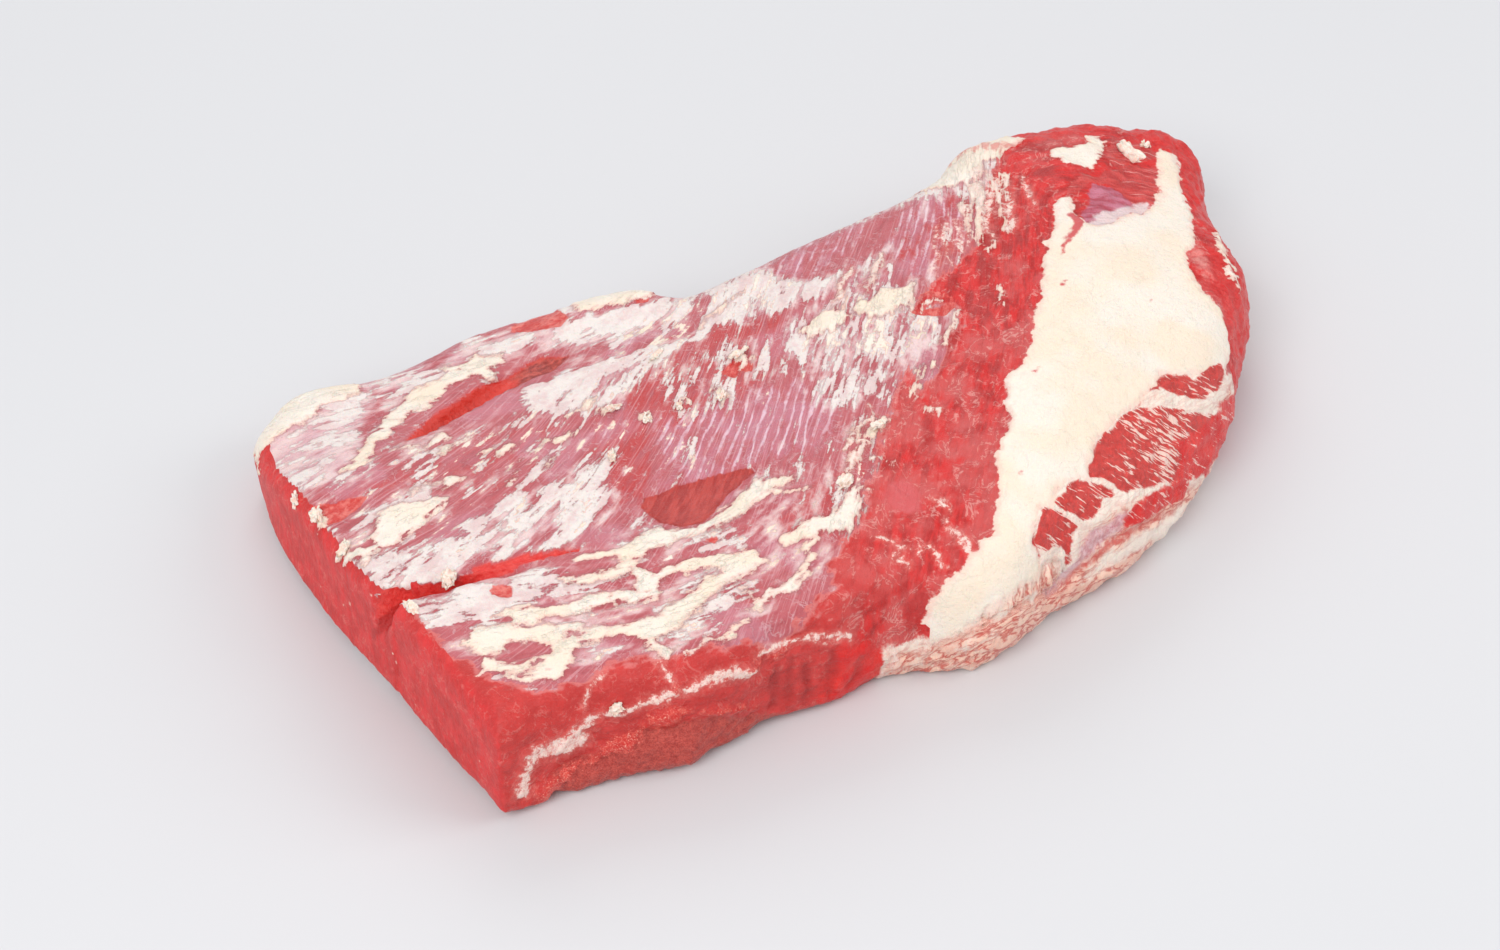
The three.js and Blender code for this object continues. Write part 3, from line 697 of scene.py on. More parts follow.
def streak_depth(points, line, half_widths):
    """How deep inside a streak of changing width each point lies."""
    result = np.full(len(points), FAR)
    index = nearby(points, line)
    near = points[index]
    corners = np.array(line, float)
    for i in range(len(corners) - 1):
        distance, share = segment(near, corners[i], corners[i + 1])
        half = half_widths[i] + share * (half_widths[i + 1] - half_widths[i])
        result[index] = np.maximum(result[index], half - distance)
    return result


def deepest(points, patches=(), streaks=()):
    """How deep inside any of several patches and streaks each point lies."""
    depth = np.full(len(points), FAR)
    for outline in patches:
        depth = np.maximum(depth, patch_depth(points, outline))
    for line, half_widths in streaks:
        depth = np.maximum(depth, streak_depth(points, line, half_widths))
    return depth


def ramp(values, start, end):
    """0 before start, 1 after end, smooth between."""
    share = np.clip((values - start) / (end - start), 0, 1)
    return share * share * (3 - 2 * share)


def spread(points, places, soft=7.0, which=0):
    """The largest weight of the places that each point lies in, with soft edges.

    Where places have several weights, which says the one meant.
    """
    result = np.zeros(len(points))
    for *weights, outline in places.values():
        result = np.maximum(result, weights[which] * ramp(patch_depth(points, outline), -soft, soft))
    return result


def grid_noise(points, seed):
    """Smooth noise from random slopes at the corners of a grid with a step of one."""
    slopes = np.random.RandomState(seed).normal(size=(SLOPES, 3))
    cell = np.floor(points).astype(np.int64)
    offset = points - cell
    share = offset ** 3 * (offset * (offset * 6 - 15) + 10)
    total = np.zeros(len(points))
    for corner in np.ndindex(2, 2, 2):
        pick = np.bitwise_xor.reduce((cell + corner) * MIXERS, axis=1) % SLOPES
        weight = np.prod(np.where(corner, share, 1 - share), axis=1)
        total += weight * ((offset - corner) * slopes[pick]).sum(1)
    return total


def lumps(points, size, seed, octaves=3):
    """Layered noise with a spread of about one; size is in millimetres, one or one per axis."""
    scaled = points / np.array(size, float)
    layers = [grid_noise(scaled * 2.07 ** i + 31.7 * i, seed + i) * 0.55 ** i for i in range(octaves)]
    return sum(layers) * 2.1


def sway(points, size, seeds, reach):
    """Noise that moves points about in plan, by about the reach."""
    return np.stack([lumps(points, size, seed) for seed in seeds], 1) * reach


def follow(points, headings):
    """Distance along lines whose heading in degrees changes with x, across them (shortened), and up."""
    step = 2.0
    x = np.arange(-280, 281, step)
    angle = np.radians(np.interp(x, *zip(*headings)))
    climb = np.cumsum(np.tan(angle) * step)
    run = np.cumsum(step / np.cos(angle))
    along = np.interp(points[:, 0], x, run)
    across = (points[:, 1] - np.interp(points[:, 0], x, climb)) * 0.75
    return np.stack([along, across, points[:, 2]], 1)


def sideways(points):
    """The way of the smears along the front edge, and of the fibres along the back one."""
    return np.where(points[:, 1:2] < 0, follow(points, SMEARS), follow(points, BACK_FIBRES))


def slanted(points):
    """Where points lie in the slanted plane: to the right along it, and up it."""
    right = np.array([math.cos(TURN), math.sin(TURN), 0])
    up = np.array([-math.sin(TURN) * math.sin(TILT), math.cos(TURN) * math.sin(TILT), math.cos(TILT)])
    return np.stack([points @ right, points @ up], 1)


# ---------------------------------------------------------------------------------------
# Making the meat's mesh
# ---------------------------------------------------------------------------------------
def only(piece):
    """Selects one object and nothing else."""
    bpy.ops.object.select_all(action="DESELECT")
    piece.select_set(True)
    bpy.context.view_layer.objects.active = piece


def apply_modifier(piece, kind, **values):
    modifier = piece.modifiers.new(kind.title(), kind)
    for key, value in values.items():
        setattr(modifier, key, value)
    only(piece)
    bpy.ops.object.modifier_apply(modifier=modifier.name)


def vectors(mesh, key):
    """The points' places ("co") or directions ("normal") as an array."""
    values = np.empty(len(mesh.vertices) * 3)
    mesh.vertices.foreach_get(key, values)
    return values.reshape(-1, 3)


def store(mesh, name, values):
    """Keeps one number, or one place, for each point of a mesh."""
    kind, key = ("FLOAT_VECTOR", "vector") if values.ndim == 2 else ("FLOAT", "value")
    attribute = mesh.attributes.new(name, kind, "POINT")
    attribute.data.foreach_set(key, values.astype(np.float32).ravel())


def copy_of_the_cut(step):
    """The whole cut as a fine, even mesh, its underside kept coarse."""
    bpy.ops.object.select_all(action="DESELECT")
    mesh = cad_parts["brisket"].data.copy()
    mesh.materials.clear()
    piece = bpy.data.objects.new("meat", mesh)
    bpy.context.scene.collection.objects.link(piece)
    only(piece)
    bpy.ops.object.mode_set(mode="EDIT")
    bpy.ops.mesh.select_all(action="SELECT")
    bpy.ops.mesh.remove_doubles(threshold=0.02 * MM)
    bpy.ops.mesh.tris_convert_to_quads(face_threshold=math.radians(40), shape_threshold=math.radians(60))
    bpy.ops.object.mode_set(mode="OBJECT")
    apply_modifier(piece, "SUBSURF", levels=2, render_levels=2)
    apply_modifier(piece, "REMESH", mode="VOXEL", voxel_size=step)
    apply_modifier(piece, "SMOOTH", factor=0.5, iterations=4)
    round_the_shoulder(piece)
    thin_the_underside(piece)
    return piece


def round_the_shoulder(piece):
    """Softens the upright corner and the upper front edge of the flat."""
    points = vectors(piece.data, "co") / MM
    upright = streak_depth(points[:, :2], *SHOULDER_CORNER) * (points[:, 2] > 6)
    upper = streak_depth(points[:, :2], *SHOULDER_EDGE) * (points[:, 2] > 36)
    weight = np.maximum(ramp(upright, 0, 8), ramp(upper, 0, 8))
    group = piece.vertex_groups.new(name="shoulder")
    for index in np.nonzero(weight)[0]:
        group.add([int(index)], weight[index], "REPLACE")
    apply_modifier(piece, "SMOOTH", factor=0.7, iterations=70, vertex_group="shoulder")


def thin_the_underside(piece):
    """Merges most of the faces that lie on the floor."""
    mesh = piece.data
    heights = vectors(mesh, "co")[:, 2]
    bpy.ops.object.mode_set(mode="EDIT")
    bpy.ops.mesh.select_mode(type="FACE")
    bpy.ops.mesh.select_all(action="DESELECT")
    bpy.ops.object.mode_set(mode="OBJECT")
    for face in mesh.polygons:
        face.select = all(heights[i] < UNDERSIDE * MM for i in face.vertices)
    bpy.ops.object.mode_set(mode="EDIT")
    bpy.ops.mesh.decimate(ratio=0.05)
    bpy.ops.object.mode_set(mode="OBJECT")


# ---------------------------------------------------------------------------------------
# What lies at each point of the meat
# ---------------------------------------------------------------------------------------
class Surface:
    """The meat's points in millimetres, which way each faces, and where it lies in both layouts."""

    def __init__(self, points, normal):
        self.points, self.normal = points, normal
        self.x, self.y, self.z = points.T
        self.upward = ramp(normal[:, 2], 0.1, 0.35)
        self.ahead = ramp(-normal[:, 1], 0.05, 0.2) * ramp(-self.y, 10, 30)
        self.behind = ramp(-normal[:, 2], -0.5, -0.2) * ramp(self.y, 60, 80)
        self.plan = points[:, :2]
        wobble = sway(points, 9, (3, 17), 1.1)
        self.wobble = wobble
        self.bent = self.plan + wobble + sway(points, 20, (61, 67), 6) * self.behind[:, None]
        self.slant = slanted(points)
        self.leaning = self.slant + wobble * 0.6
        folded = ramp(streak_depth(self.plan, *FOLDED_CORNER), -4, 4)
        self.cut = ramp(-normal[:, 0] - 0.2 * folded, 0.35, 0.6) * ramp(-self.x, 196, 202)
        self.front = (ramp(-normal[:, 1], 0.45, 0.7) * ramp(-self.y, 112, 118) * ramp(-self.x, 26, 34)
                      * (1 - self.cut))


def survey(points, normal):
    """All that the paint and the relief need to know at each point: depths, shares and noise."""
    at = Surface(points, normal)
    facts = {"cut": at.cut, "front": at.front}
    facts.update(slit_facts(at))
    facts.update(facing_facts(at))
    facts["cap"] = cap_depth(at)
    facts.update(fat_facts(at, facts["cap"], facts["slit"]))
    facts.update(film_facts(at, facts["fat"], facts["slit"]))
    facts.update(skin_facts(at, facts["slit"]))
    facts.update(fibre_facts(at))
    return facts


def slit_facts(at):
    """The knife slits, their walls and mouth, and the gash with its torn end."""
    slit, slit_depth = np.zeros(len(at.points)), np.zeros(len(at.points))
    for line, half_widths, lips in SLITS.values():
        near = streak_depth(at.plan, line, half_widths)
        slit_depth = np.where(near > 0, lips - at.z, slit_depth)
        steep = np.maximum(ramp(lips - at.z, 2.5, 5), ramp(-at.normal[:, 2], -0.6, -0.35))
        slit = np.maximum(slit, ramp(near, -1.0, 1.0) * steep * ramp(at.z, 20, 26) * (1 - at.cut))
    lip_x, lip_y, lip_width = zip(*GASH)
    gash = (at.y - np.interp(at.x, lip_x, lip_y)) / np.maximum(np.interp(at.x, lip_x, lip_width), 1)
    gash = np.where((at.x > lip_x[0]) & (at.x < lip_x[-1]) & (at.normal[:, 2] > 0.1), gash, -2.0)
    in_gash = ramp(gash, -0.08, 0.02) * (1 - ramp(gash, 0.8, 1.0))
    slit = np.maximum(slit * (at.y < 0), in_gash)
    slit = np.maximum(slit, ramp(streak_depth(at.plan + at.wobble * 0.2, *SLIT_TAIL), -0.4, 0.4))
    mouth = streak_depth(at.leaning, *SLIT_MOUTH)
    return {
        "slit": slit,
        "slit depth": slit_depth,
        "slit tail": streak_depth(at.plan, *SLIT_TAIL),
        "lip": streak_depth(at.plan, *NEAR_LIP),
        "mouth": np.where((at.x < -215) & (at.z > 12), mouth, FAR),
        "gash": gash,
        "scoop": ramp(at.x + at.wobble[:, 0] * 2, -136, -126) * in_gash,
    }


def facing_facts(at):
    """What the forward side shows: each place with how far a point must face ahead to be in it."""
    places = {
        "muscle": (deepest(at.slant + at.wobble * 0.4, MUSCLE.values()), 0.3),
        "red strip": (deepest(at.leaning, RED_STRIPS), 0.3),
        "grain": (patch_depth(at.leaning, GRAINY_FACE), 0.5),
        "lump": (deepest(at.leaning, (), LUMPS), 0.5),
        "bulge": (patch_depth(at.leaning, BULGE), 0.5),
        "folds": (deepest(at.leaning, (), FOLDS), 0.5),
        "dark patch": (patch_depth(at.leaning, DARK_PATCH), 0.2),
        "ledge": (deepest(at.leaning, (), LEDGE), 0.4),
        "lavender": (streak_depth(at.leaning, *LAVENDER), 0.3),
        "red crease": (streak_depth(at.leaning, *RED_CREASE), 0.3),
        "white cap": (patch_depth(at.leaning, WHITE_CAP), 0.3),
        "fringe": (patch_depth(at.leaning, FRINGE), 0.2),
    }
    facts = {name: np.where(at.ahead > least, depth, FAR) for name, (depth, least) in places.items()}
    on_top = np.where(at.upward > 0.3, deepest(at.bent, (), STRANDS), FAR)
    facts["ledge"] = np.maximum(facts["ledge"], on_top)
    facts["marbling"] = spread(at.slant, MARBLING, 4) * (at.ahead > 0.3)
    along = at.slant @ (math.cos(CAP_SLOPE), math.sin(CAP_SLOPE))
    across = at.slant @ (-math.sin(CAP_SLOPE), math.cos(CAP_SLOPE))
    wrinkles = np.stack([along / 8, across / 2.6, at.z / 60], 1)
    tucks = np.stack([at.slant[:, 0] / 2.0, at.slant[:, 1] / 8, at.z / 60], 1)
    upright = ramp(facts["fringe"], -2, 2)[:, None]
    facts["wrinkle way"] = wrinkles + (tucks - wrinkles) * upright
    level = np.stack([*at.slant.T, np.zeros(len(at.points))], 1)
    facts["comb way"] = follow(level, MARBLING_WAY) / (9, 1.15, 1)
    return facts


def cap_depth(at):
    """The fat cap: in front as outlined, and round the end, the back and the bottom by height."""
    round_end = 30 - at.z - 34 * (1 - ramp(at.y, -25, 30))
    cap = np.where(at.ahead > 0.3, patch_depth(at.leaning, CAP_EDGE), FAR)
    cap = np.maximum(cap, np.where(at.x > -30, round_end, FAR))
    cap = np.maximum(cap, np.where((at.y > 0) & (at.normal[:, 1] > 0), 20 - at.z, FAR))
    cap = np.where(at.cut > 0.5, FAR, cap)
    cap = cap + lumps(at.points, (26, 26, 12), 22) * (1.2 + 3.5 * at.behind)
    return np.maximum(cap, np.where(at.z < UNDERSIDE, 8.0, FAR))


def fat_facts(at, cap, slit):
    """Cream fat on the top, the seam of fat, and the flecks on the cut end."""
    fat = deepest(at.bent, FAT_PATCHES.values(), FAT_STREAKS.values())
    fat = np.where((at.upward > 0.3) | (at.y > 60), fat, FAR)
    above_cap = at.z - 21 + lumps(at.points, 14, 71) * 6
    fat = np.where(at.behind > 0, np.minimum(fat, above_cap), fat)
    fat = np.minimum(fat, -deepest(at.bent, HOLES))
    fat = np.where(slit > 0.4, FAR, fat)
    seam = patch_depth(at.bent, FAT_SEAM)
    seam = np.where((at.upward > 0.15) | (at.x > -20), seam, FAR)
    seam = np.where(at.slant[:, 0] < 88, np.minimum(seam, 3 - cap), seam)
    tongue = np.where(at.ahead > 0.2, -patch_depth(at.leaning, LEAN_TONGUE), 20)
    specks = deepest(at.plan, (), SEAM_SPECKS) - 0.6
    flecks = [radius - np.linalg.norm(at.points - place, axis=1) for *place, radius in CUT_FLECKS]
    return {
        "fat": fat,
        "mottle": streak_depth(at.bent, *MOTTLED_EDGE),
        "seam": np.minimum(seam, tongue),
        "notch": np.maximum(streak_depth(at.bent, *RED_NOTCH), specks),
        "cut fleck": np.maximum(np.max(flecks, axis=0), -3),
        "creamy": spread(at.bent, CREAMY_PLACES, 9),
    }


def film_facts(at, fat, slit):
    """How much milky film and haze lies on the silverskin."""
    film = spread(at.bent, FILM)
    haze = spread(at.bent, FILM, which=1)
    for outline in CLEARINGS:
        clear = 1 - 0.6 * ramp(patch_depth(at.bent, outline), -4, 4)
        film, haze = film * clear, haze * clear
    holes = ramp(deepest(at.bent, HOLES), -1.5, 1)
    film = np.maximum(film, 0.35 * ramp(fat, -5, -1)) * (1 - holes)
    haze = haze * (1 - 0.7 * holes)
    return {"film": np.where(slit > 0.4, 0, film), "haze": np.where(slit > 0.4, 0, haze)}


def skin_facts(at, slit):
    """The silverskin, the places where it is torn or coloured, and the bare meat beyond it."""
    skin = patch_depth(at.bent, SILVERSKIN)
    skin = np.where((at.cut > 0.5) | (slit > 0.4), FAR, skin)
    skin = np.minimum(skin, np.where(at.y < -100, at.z - 47, 20))
    round_rim = at.x - 190 - 24 * ramp(at.y, -12, 24)
    back_rim = np.where(at.x > 120, at.y - 114, FAR)
    return {
        "skin": skin,
        "bare": deepest(at.plan + at.wobble * 0.4, BARE_PATCHES.values(), RED_CURLS),
        "oval": patch_depth(at.plan, BARE_PATCHES["scooped oval"]),
        "red": spread(at.bent, RED_PLACES, 10),
        "ruled": spread(at.bent, RULED_PLACES, 9),
        "dark": deepest(at.bent, [DARK_MUSCLE, DARK_BACK]),
        "violet": patch_depth(at.bent, VIOLET),
        "violet veil": patch_depth(at.bent, VIOLET_VEIL),
        "rim": np.maximum(round_rim, back_rim),
        "pink patch": patch_depth(at.bent, PINK_PATCH),
        "pink edge": streak_depth(at.bent, *PINK_EDGE),
        "wet": ramp(at.x + lumps(at.points, 30, 77, 2) * 8, -75, -30) * (1 - at.cut),
        "toward the front": ramp(-at.y, 8, 70),
    }


def fibre_facts(at):
    """The ways of the fibres and smears, and noise drawn out along them."""
    flow, drift = follow(at.points, FIBRES), sideways(at.points)
    front = ramp(-at.y, 50, 62) * ramp(-at.x, 30, 70)
    back = ramp(at.y, 40, 62) * ramp(-at.x, 20, 50)
    facts = {"flow": flow, "drift": drift, "forward": np.maximum(front, back)}
    for name, size, seed in (("streak", (26, 8, 24), 300), ("other", (15, 5.5, 16), 340)):
        along_fibres, along_smears = lumps(flow, size, seed), lumps(drift, size, seed)
        facts[name] = along_fibres + facts["forward"] * (along_smears - along_fibres)
    facts["broad"] = lumps(at.points, 30, 380, 2)
    facts["blotch"] = lumps(at.points, 9, 390)
    return facts


def relief(points, facts, settings):
    """How far each point moves out along its normal, in millimetres."""
    x, y, z = points.T

    def over(name, start, end):
        return ramp(facts[name], start, end)

    fat = over("fat", -0.4, 1.0) * settings.fat_height / MM
    thick = np.maximum(over("seam", -0.6, 2.2), over("cap", -1.0, 2.0) * ramp(-y, 40, 60))
    move = np.maximum(fat, thick * settings.seam_height / MM)
    for name, start, full, height in RELIEF:
        move += over(name, start, full) * height
    on_skin = over("skin", -0.4, 0.6)
    move += on_skin * (0.5 + facts["streak"] * 0.16)
    move += facts["film"] * 0.35
    move -= over("bare", -0.6, 0.8) * 1.1 * on_skin
    gash = over("gash", -0.1, 0.06) * (1 - over("gash", 0.0, 1.0)) * ramp(x, -190, -178)
    move -= gash * 7 * (1 - 0.6 * ramp(x, -136, -122)) * (1 - ramp(x, -112, -102))
    move += over("grain", 0, 9) * 4.5 * ramp(-x, 122, 132)
    band = (1 - on_skin) * (1 - over("seam", -1, 1)) * (1 - facts["cut"]) * (1 - facts["front"])
    band *= ramp(x, -60, -40) * (1 - over("cap", -2, 1))
    move += band * lumps(points, (10, 16, 10), 55, 4) * 0.7
    move += facts["front"] * lumps(points, (9, 9, 6), 91) * 0.45
    move += over("grain", -1, 2) * lumps(points, (3.6, 3.6, 3.0), 95, 2) * 0.28
    wrinkled = over("cap", -1, 3) * (0.5 + 0.4 * over("fringe", -2, 2)) * ramp(z, 0.5, 3)
    move += wrinkled * lumps(facts["wrinkle way"], (1.2, 1.6, 1), 124)
    move += lumps(points, 5, 202, 2) * 0.1
    return np.where(z < UNDERSIDE, np.maximum(move, 0), move)


# ---------------------------------------------------------------------------------------
# Materials
# ---------------------------------------------------------------------------------------
class Finish:
    """Builds a node material. Apart from put and put_all, a call adds nodes and returns an output."""

    def __init__(self, name):
        self.material = bpy.data.materials.new(name)
        self.material.use_nodes = True
        self.nodes = self.material.node_tree.nodes
        self.links = self.material.node_tree.links
        self.shader = self.nodes["Principled BSDF"]
        in_metres = self.nodes.new("ShaderNodeTexCoord").outputs["Object"]
        self.place = self.stretch(in_metres, (1 / MM, 1 / MM, 1 / MM))

    def put(self, socket, value):
        """Links an output to a socket, or sets the socket's own value."""
        if isinstance(value, bpy.types.NodeSocket):
            self.links.new(value, socket)
        elif socket.type == "RGBA" and len(value) == 3:
            socket.default_value = (*value, 1)
        else:
            socket.default_value = value

    def put_all(self, node, values):
        for name, value in values.items():
            self.put(node.inputs[name], value)

    def math(self, operation, *values):
        node = self.nodes.new("ShaderNodeMath")
        node.operation = operation
        for socket, value in zip(node.inputs, values):
            self.put(socket, value)
        return node.outputs[0]

    def stretch(self, vector, scale):
        node = self.nodes.new("ShaderNodeVectorMath")
        node.operation = "MULTIPLY"
        self.put(node.inputs[0], vector)
        self.put(node.inputs[1], scale)
        return node.outputs[0]

    def fact(self, name, output="Fac"):
        """What the mesh keeps under a name for each point: a number, or a place as a Vector."""
        node = self.nodes.new("ShaderNodeAttribute")
        node.attribute_name = name
        return node.outputs[output]

    def noise(self, vector, scale, detail, roughness, distortion=0.0):
        node = self.nodes.new("ShaderNodeTexNoise")
        self.put_all(node, {
            "Vector": vector, "Scale": scale, "Detail": detail, "Roughness": roughness,
            "Distortion": distortion})
        return node.outputs["Fac"]

    def rise(self, value, start, end, low=0.0, high=1.0):
        """Maps start..end to low..high, clamped and smooth."""
        node = self.nodes.new("ShaderNodeMapRange")
        node.interpolation_type = "SMOOTHSTEP"
        for socket, number in zip(node.inputs, (value, start, end, low, high)):
            self.put(socket, number)
        return node.outputs[0]

    def mix(self, share, under, over):
        """A tone between two others."""
        node = self.nodes.new("ShaderNodeMix")
        node.data_type = "RGBA"
        self.put_all(node, {0: share, 6: under, 7: over})
        return node.outputs[2]

    def blend(self, share, under, over):
        """A number between two others."""
        node = self.nodes.new("ShaderNodeMix")
        node.data_type = "FLOAT"
        self.put_all(node, {0: share, 2: under, 3: over})
        return node.outputs[0]

    def grade(self, value, start, end, first, second, most=1.0):
        """From the first tone toward the second one as a value goes from start to end."""
        return self.mix(self.rise(value, start, end, 0.0, most), first, second)

    def bump(self, height, distance, strength):
        node = self.nodes.new("ShaderNodeBump")
        self.put_all(node, {"Height": height, "Distance": distance, "Strength": strength})
        return node.outputs[0]


def shade(tone, factor):
    return tuple(min(1.0, value * factor) for value in tone)


def toward(tone, other, share):
    return tuple(a + (b - a) * share for a, b in zip(tone, other))


class MeatFinish(Finish):
    """The whole cut's finish, laid on in layers from the lean meat up to the fat."""

    def __init__(self, settings):
        super().__init__("raw meat with silverskin and fat")
        self.settings = settings
        self.tone = settings.lean
        flow, drift = self.fact("flow", "Vector"), self.fact("drift", "Vector")
        self.broad, self.blotch = self.fact("broad"), self.fact("blotch")
        self.streak, self.other = self.fact("streak"), self.fact("other")
        self.ragged = self.centred(self.place, 0.36, 4, 0.68)
        self.crumb = self.centred(self.place, 1.6, 2, 0.6)
        fine_size = (1 / 12, 1 / 2.5, 1 / 7)
        along_fibres = self.centred(self.stretch(flow, fine_size), 1, 3, 0.5)
        along_smears = self.centred(self.stretch(drift, fine_size), 1, 3, 0.5)
        self.fine = self.blend(self.fact("forward"), along_fibres, along_smears)
        self.thread = self.centred(self.stretch(flow, (1 / 26, 1 / 0.9, 1 / 6)), 1, 2, 0.5)
        web = self.math("ABSOLUTE", self.centred(self.place, 0.085, 4, 0.62, 0.6))
        broken = self.rise(self.sum_of((1.0, self.ragged), (0.15, self.blotch)), -0.15, 0.1)
        self.veins = self.both(self.rise(web, 0.022, 0.003), broken)
        split = self.nodes.new("ShaderNodeSeparateXYZ")
        self.put(split.inputs[0], flow)
        self.across = split.outputs["Y"]

    def centred(self, vector, scale, detail, roughness, distortion=0.0):
        """Noise round zero."""
        return self.math("SUBTRACT", self.noise(vector, scale, detail, roughness, distortion), 0.5)

    def sum_of(self, *pairs):
        """The sum of outputs, each multiplied by its weight."""
        total = 0.0
        for weight, value in pairs:
            total = self.math("MULTIPLY_ADD", value, weight, total)
        return total

    def both(self, first, second):
        return self.math("MULTIPLY", first, second)

    def area(self, name, ragged=5.0, soft=0.5, fine=0.0):
        """Where a named place lies, with a ragged edge."""
        depth = self.sum_of((1.0, self.fact(name)), (ragged, self.ragged), (fine, self.fine))
        return self.rise(depth, -soft, soft)

    def lay(self, share, over, strength=1.0):
        """Puts a tone over what is there."""
        if strength != 1.0:
            share = self.math("MULTIPLY", share, strength)
        self.tone = self.mix(share, self.tone, over)

    def lean_meat(self):
        lean = self.settings.lean
        # Painted shade: the cut end keeps the full lean tone and every other face gets a darker copy of it.
        self.tone = self.mix(self.fact("cut"), toward(lean, srgb(176, 58, 48), 0.4), lean)
        deeper = self.rise(self.sum_of((0.5, self.blotch), (2.0, self.ragged)), 0.8, -0.8)
        self.lay(deeper, srgb(176, 42, 38), 0.55)
        self.lay(self.rise(self.fine, -0.02, 0.2), srgb(238, 84, 80), 0.25)
        self.lay(self.rise(self.crumb, 0.1, 0.24), srgb(232, 122, 112), 0.28)
        self.lay(self.veins, srgb(232, 140, 130), 0.35)
        self.lay(self.area("cut fleck", 1.5, 0.4), srgb(248, 226, 208))

    def wet_meat(self):
        """The bare band between the flat and the point, and the red places round it."""
        bare = self.settings.bare
        fibres = self.sum_of((0.3, self.other), (1.8, self.fine))
        tone = self.grade(fibres, -0.5, 0.35, shade(bare, 0.7), shade(bare, 1.1))
        pinker = self.sum_of(
            (0.3, self.blotch), (0.4, self.broad), (0.8, self.ragged), (0.8, self.fact("toward the front")))
        tone = self.grade(pinker, 0.0, 1.1, tone, srgb(206, 88, 85), 0.8)
        # Painted highlights: pale specks where the wet meat glints.
        painted_glints = self.sum_of((1.0, self.fine), (0.8, self.ragged))
        tone = self.grade(painted_glints, 0.13, 0.26, tone, srgb(236, 150, 142), 0.25)
        tone = self.mix(self.math("MULTIPLY", self.veins, 0.45), tone, srgb(242, 184, 174))
        self.lay(self.fact("wet"), tone)
        bright = self.grade(self.ragged, -0.2, 0.2, srgb(206, 24, 22), srgb(222, 54, 48))
        self.lay(self.area("rim", 8, 4), bright, 0.75)
        self.lay(self.area("pink patch", 6, 3), srgb(214, 92, 94), 0.85)
        self.lay(self.area("dark patch", 3, 1.2), srgb(186, 46, 44), 0.8)
        mottled = self.sum_of(
            (1.0, self.fact("pink edge")), (18, self.ragged), (12, self.fine), (6, self.crumb))
        self.lay(self.rise(mottled, -3.0, 7.0), srgb(238, 166, 156), 0.6)

    def front_face(self):
        """The coarse meat low on the front edge, with its torn lump, its bulge and painted shade in its
        folds.
        """
        coarse = self.sum_of((0.7, self.ragged), (1.0, self.crumb))
        grain = self.grade(coarse, -0.24, 0.26, srgb(162, 48, 42), srgb(206, 88, 76))
        self.lay(self.area("grain", 8, 1.5), grain)
        tears = self.sum_of((1.0, self.ragged), (1.0, self.crumb))
        torn = self.grade(tears, -0.15, 0.22, srgb(206, 44, 38), srgb(228, 96, 82))
        torn = self.grade(self.crumb, 0.08, 0.2, torn, srgb(246, 196, 178), 0.7)
        self.lay(self.area("lump", 10, 1.2, 4), torn, 0.95)
        bulge = self.grade(self.blotch, -1, 1, srgb(218, 26, 24), srgb(230, 46, 38))
        self.lay(self.area("bulge", 6, 2.5), bulge, 0.9)
        # Painted shade in the folds: darker red along them.
        self.lay(self.rise(self.fact("folds"), -2.2, 0.8), srgb(150, 34, 32), 0.45)

    def dark_muscle(self):
        tone = self.grade(self.fine, -0.15, 0.15, srgb(184, 46, 44), srgb(210, 74, 70))
        tone = self.grade(self.thread, 0.08, 0.2, tone, srgb(226, 150, 144))
        self.lay(self.area("dark", 4, 0.7), tone)

    def silverskin(self):
        level = self.sum_of(
            (1.0, self.fact("skin")), (4.0, self.ragged), (9.0, self.fine), (0.6, self.other))
        on_skin = self.rise(level, -0.5, 0.5)
        self.lay(self.rise(level, -2.6, -0.6), srgb(228, 150, 146), 0.45)
        self.lay(on_skin, self.ruled_with_lines(self.skin_tone()))
        opened = self.area("bare", 3.0, 0.4, 2.0)
        scooped = self.grade(self.fine, -0.12, 0.15, srgb(168, 48, 43), srgb(194, 70, 62))
        tears = self.sum_of((1.0, self.fine), (1.0, self.ragged))
        torn = self.grade(tears, -0.15, 0.2, srgb(204, 56, 50), srgb(228, 120, 110))
        self.lay(opened, self.grade(self.fact("oval"), -4, -2, torn, scooped))
        self.free = self.both(self.math("SUBTRACT", 1.0, opened), on_skin)

    def skin_tone(self):
        """Red, dark and pale streaks along the fibres of the silverskin, and broad lavender patches of
        painted sheen.
        """
        reddish = self.sum_of((0.7, self.fact("red")), (0.16, self.streak), (1.5, self.fine))
        tone = self.grade(reddish, 0.1, 0.7, self.settings.skin, srgb(191, 60, 61))
        dark = self.sum_of((1.0, self.fine), (0.06, self.other), (0.3, self.thread))
        dark = self.math("MULTIPLY", self.rise(dark, -0.02, -0.2), 0.5)
        tone = self.mix(dark, tone, srgb(170, 68, 74))
        # Painted sheen: broad lavender patches where the silverskin catches the light.
        tone = self.grade(self.broad, 0.2, 1.4, tone, srgb(206, 142, 158), 0.35)
        tone = self.grade(self.thread, 0.02, 0.2, tone, srgb(228, 176, 180), 0.4)
        return self.mix(self.math("MULTIPLY", self.veins, 0.35), tone, srgb(236, 200, 202))

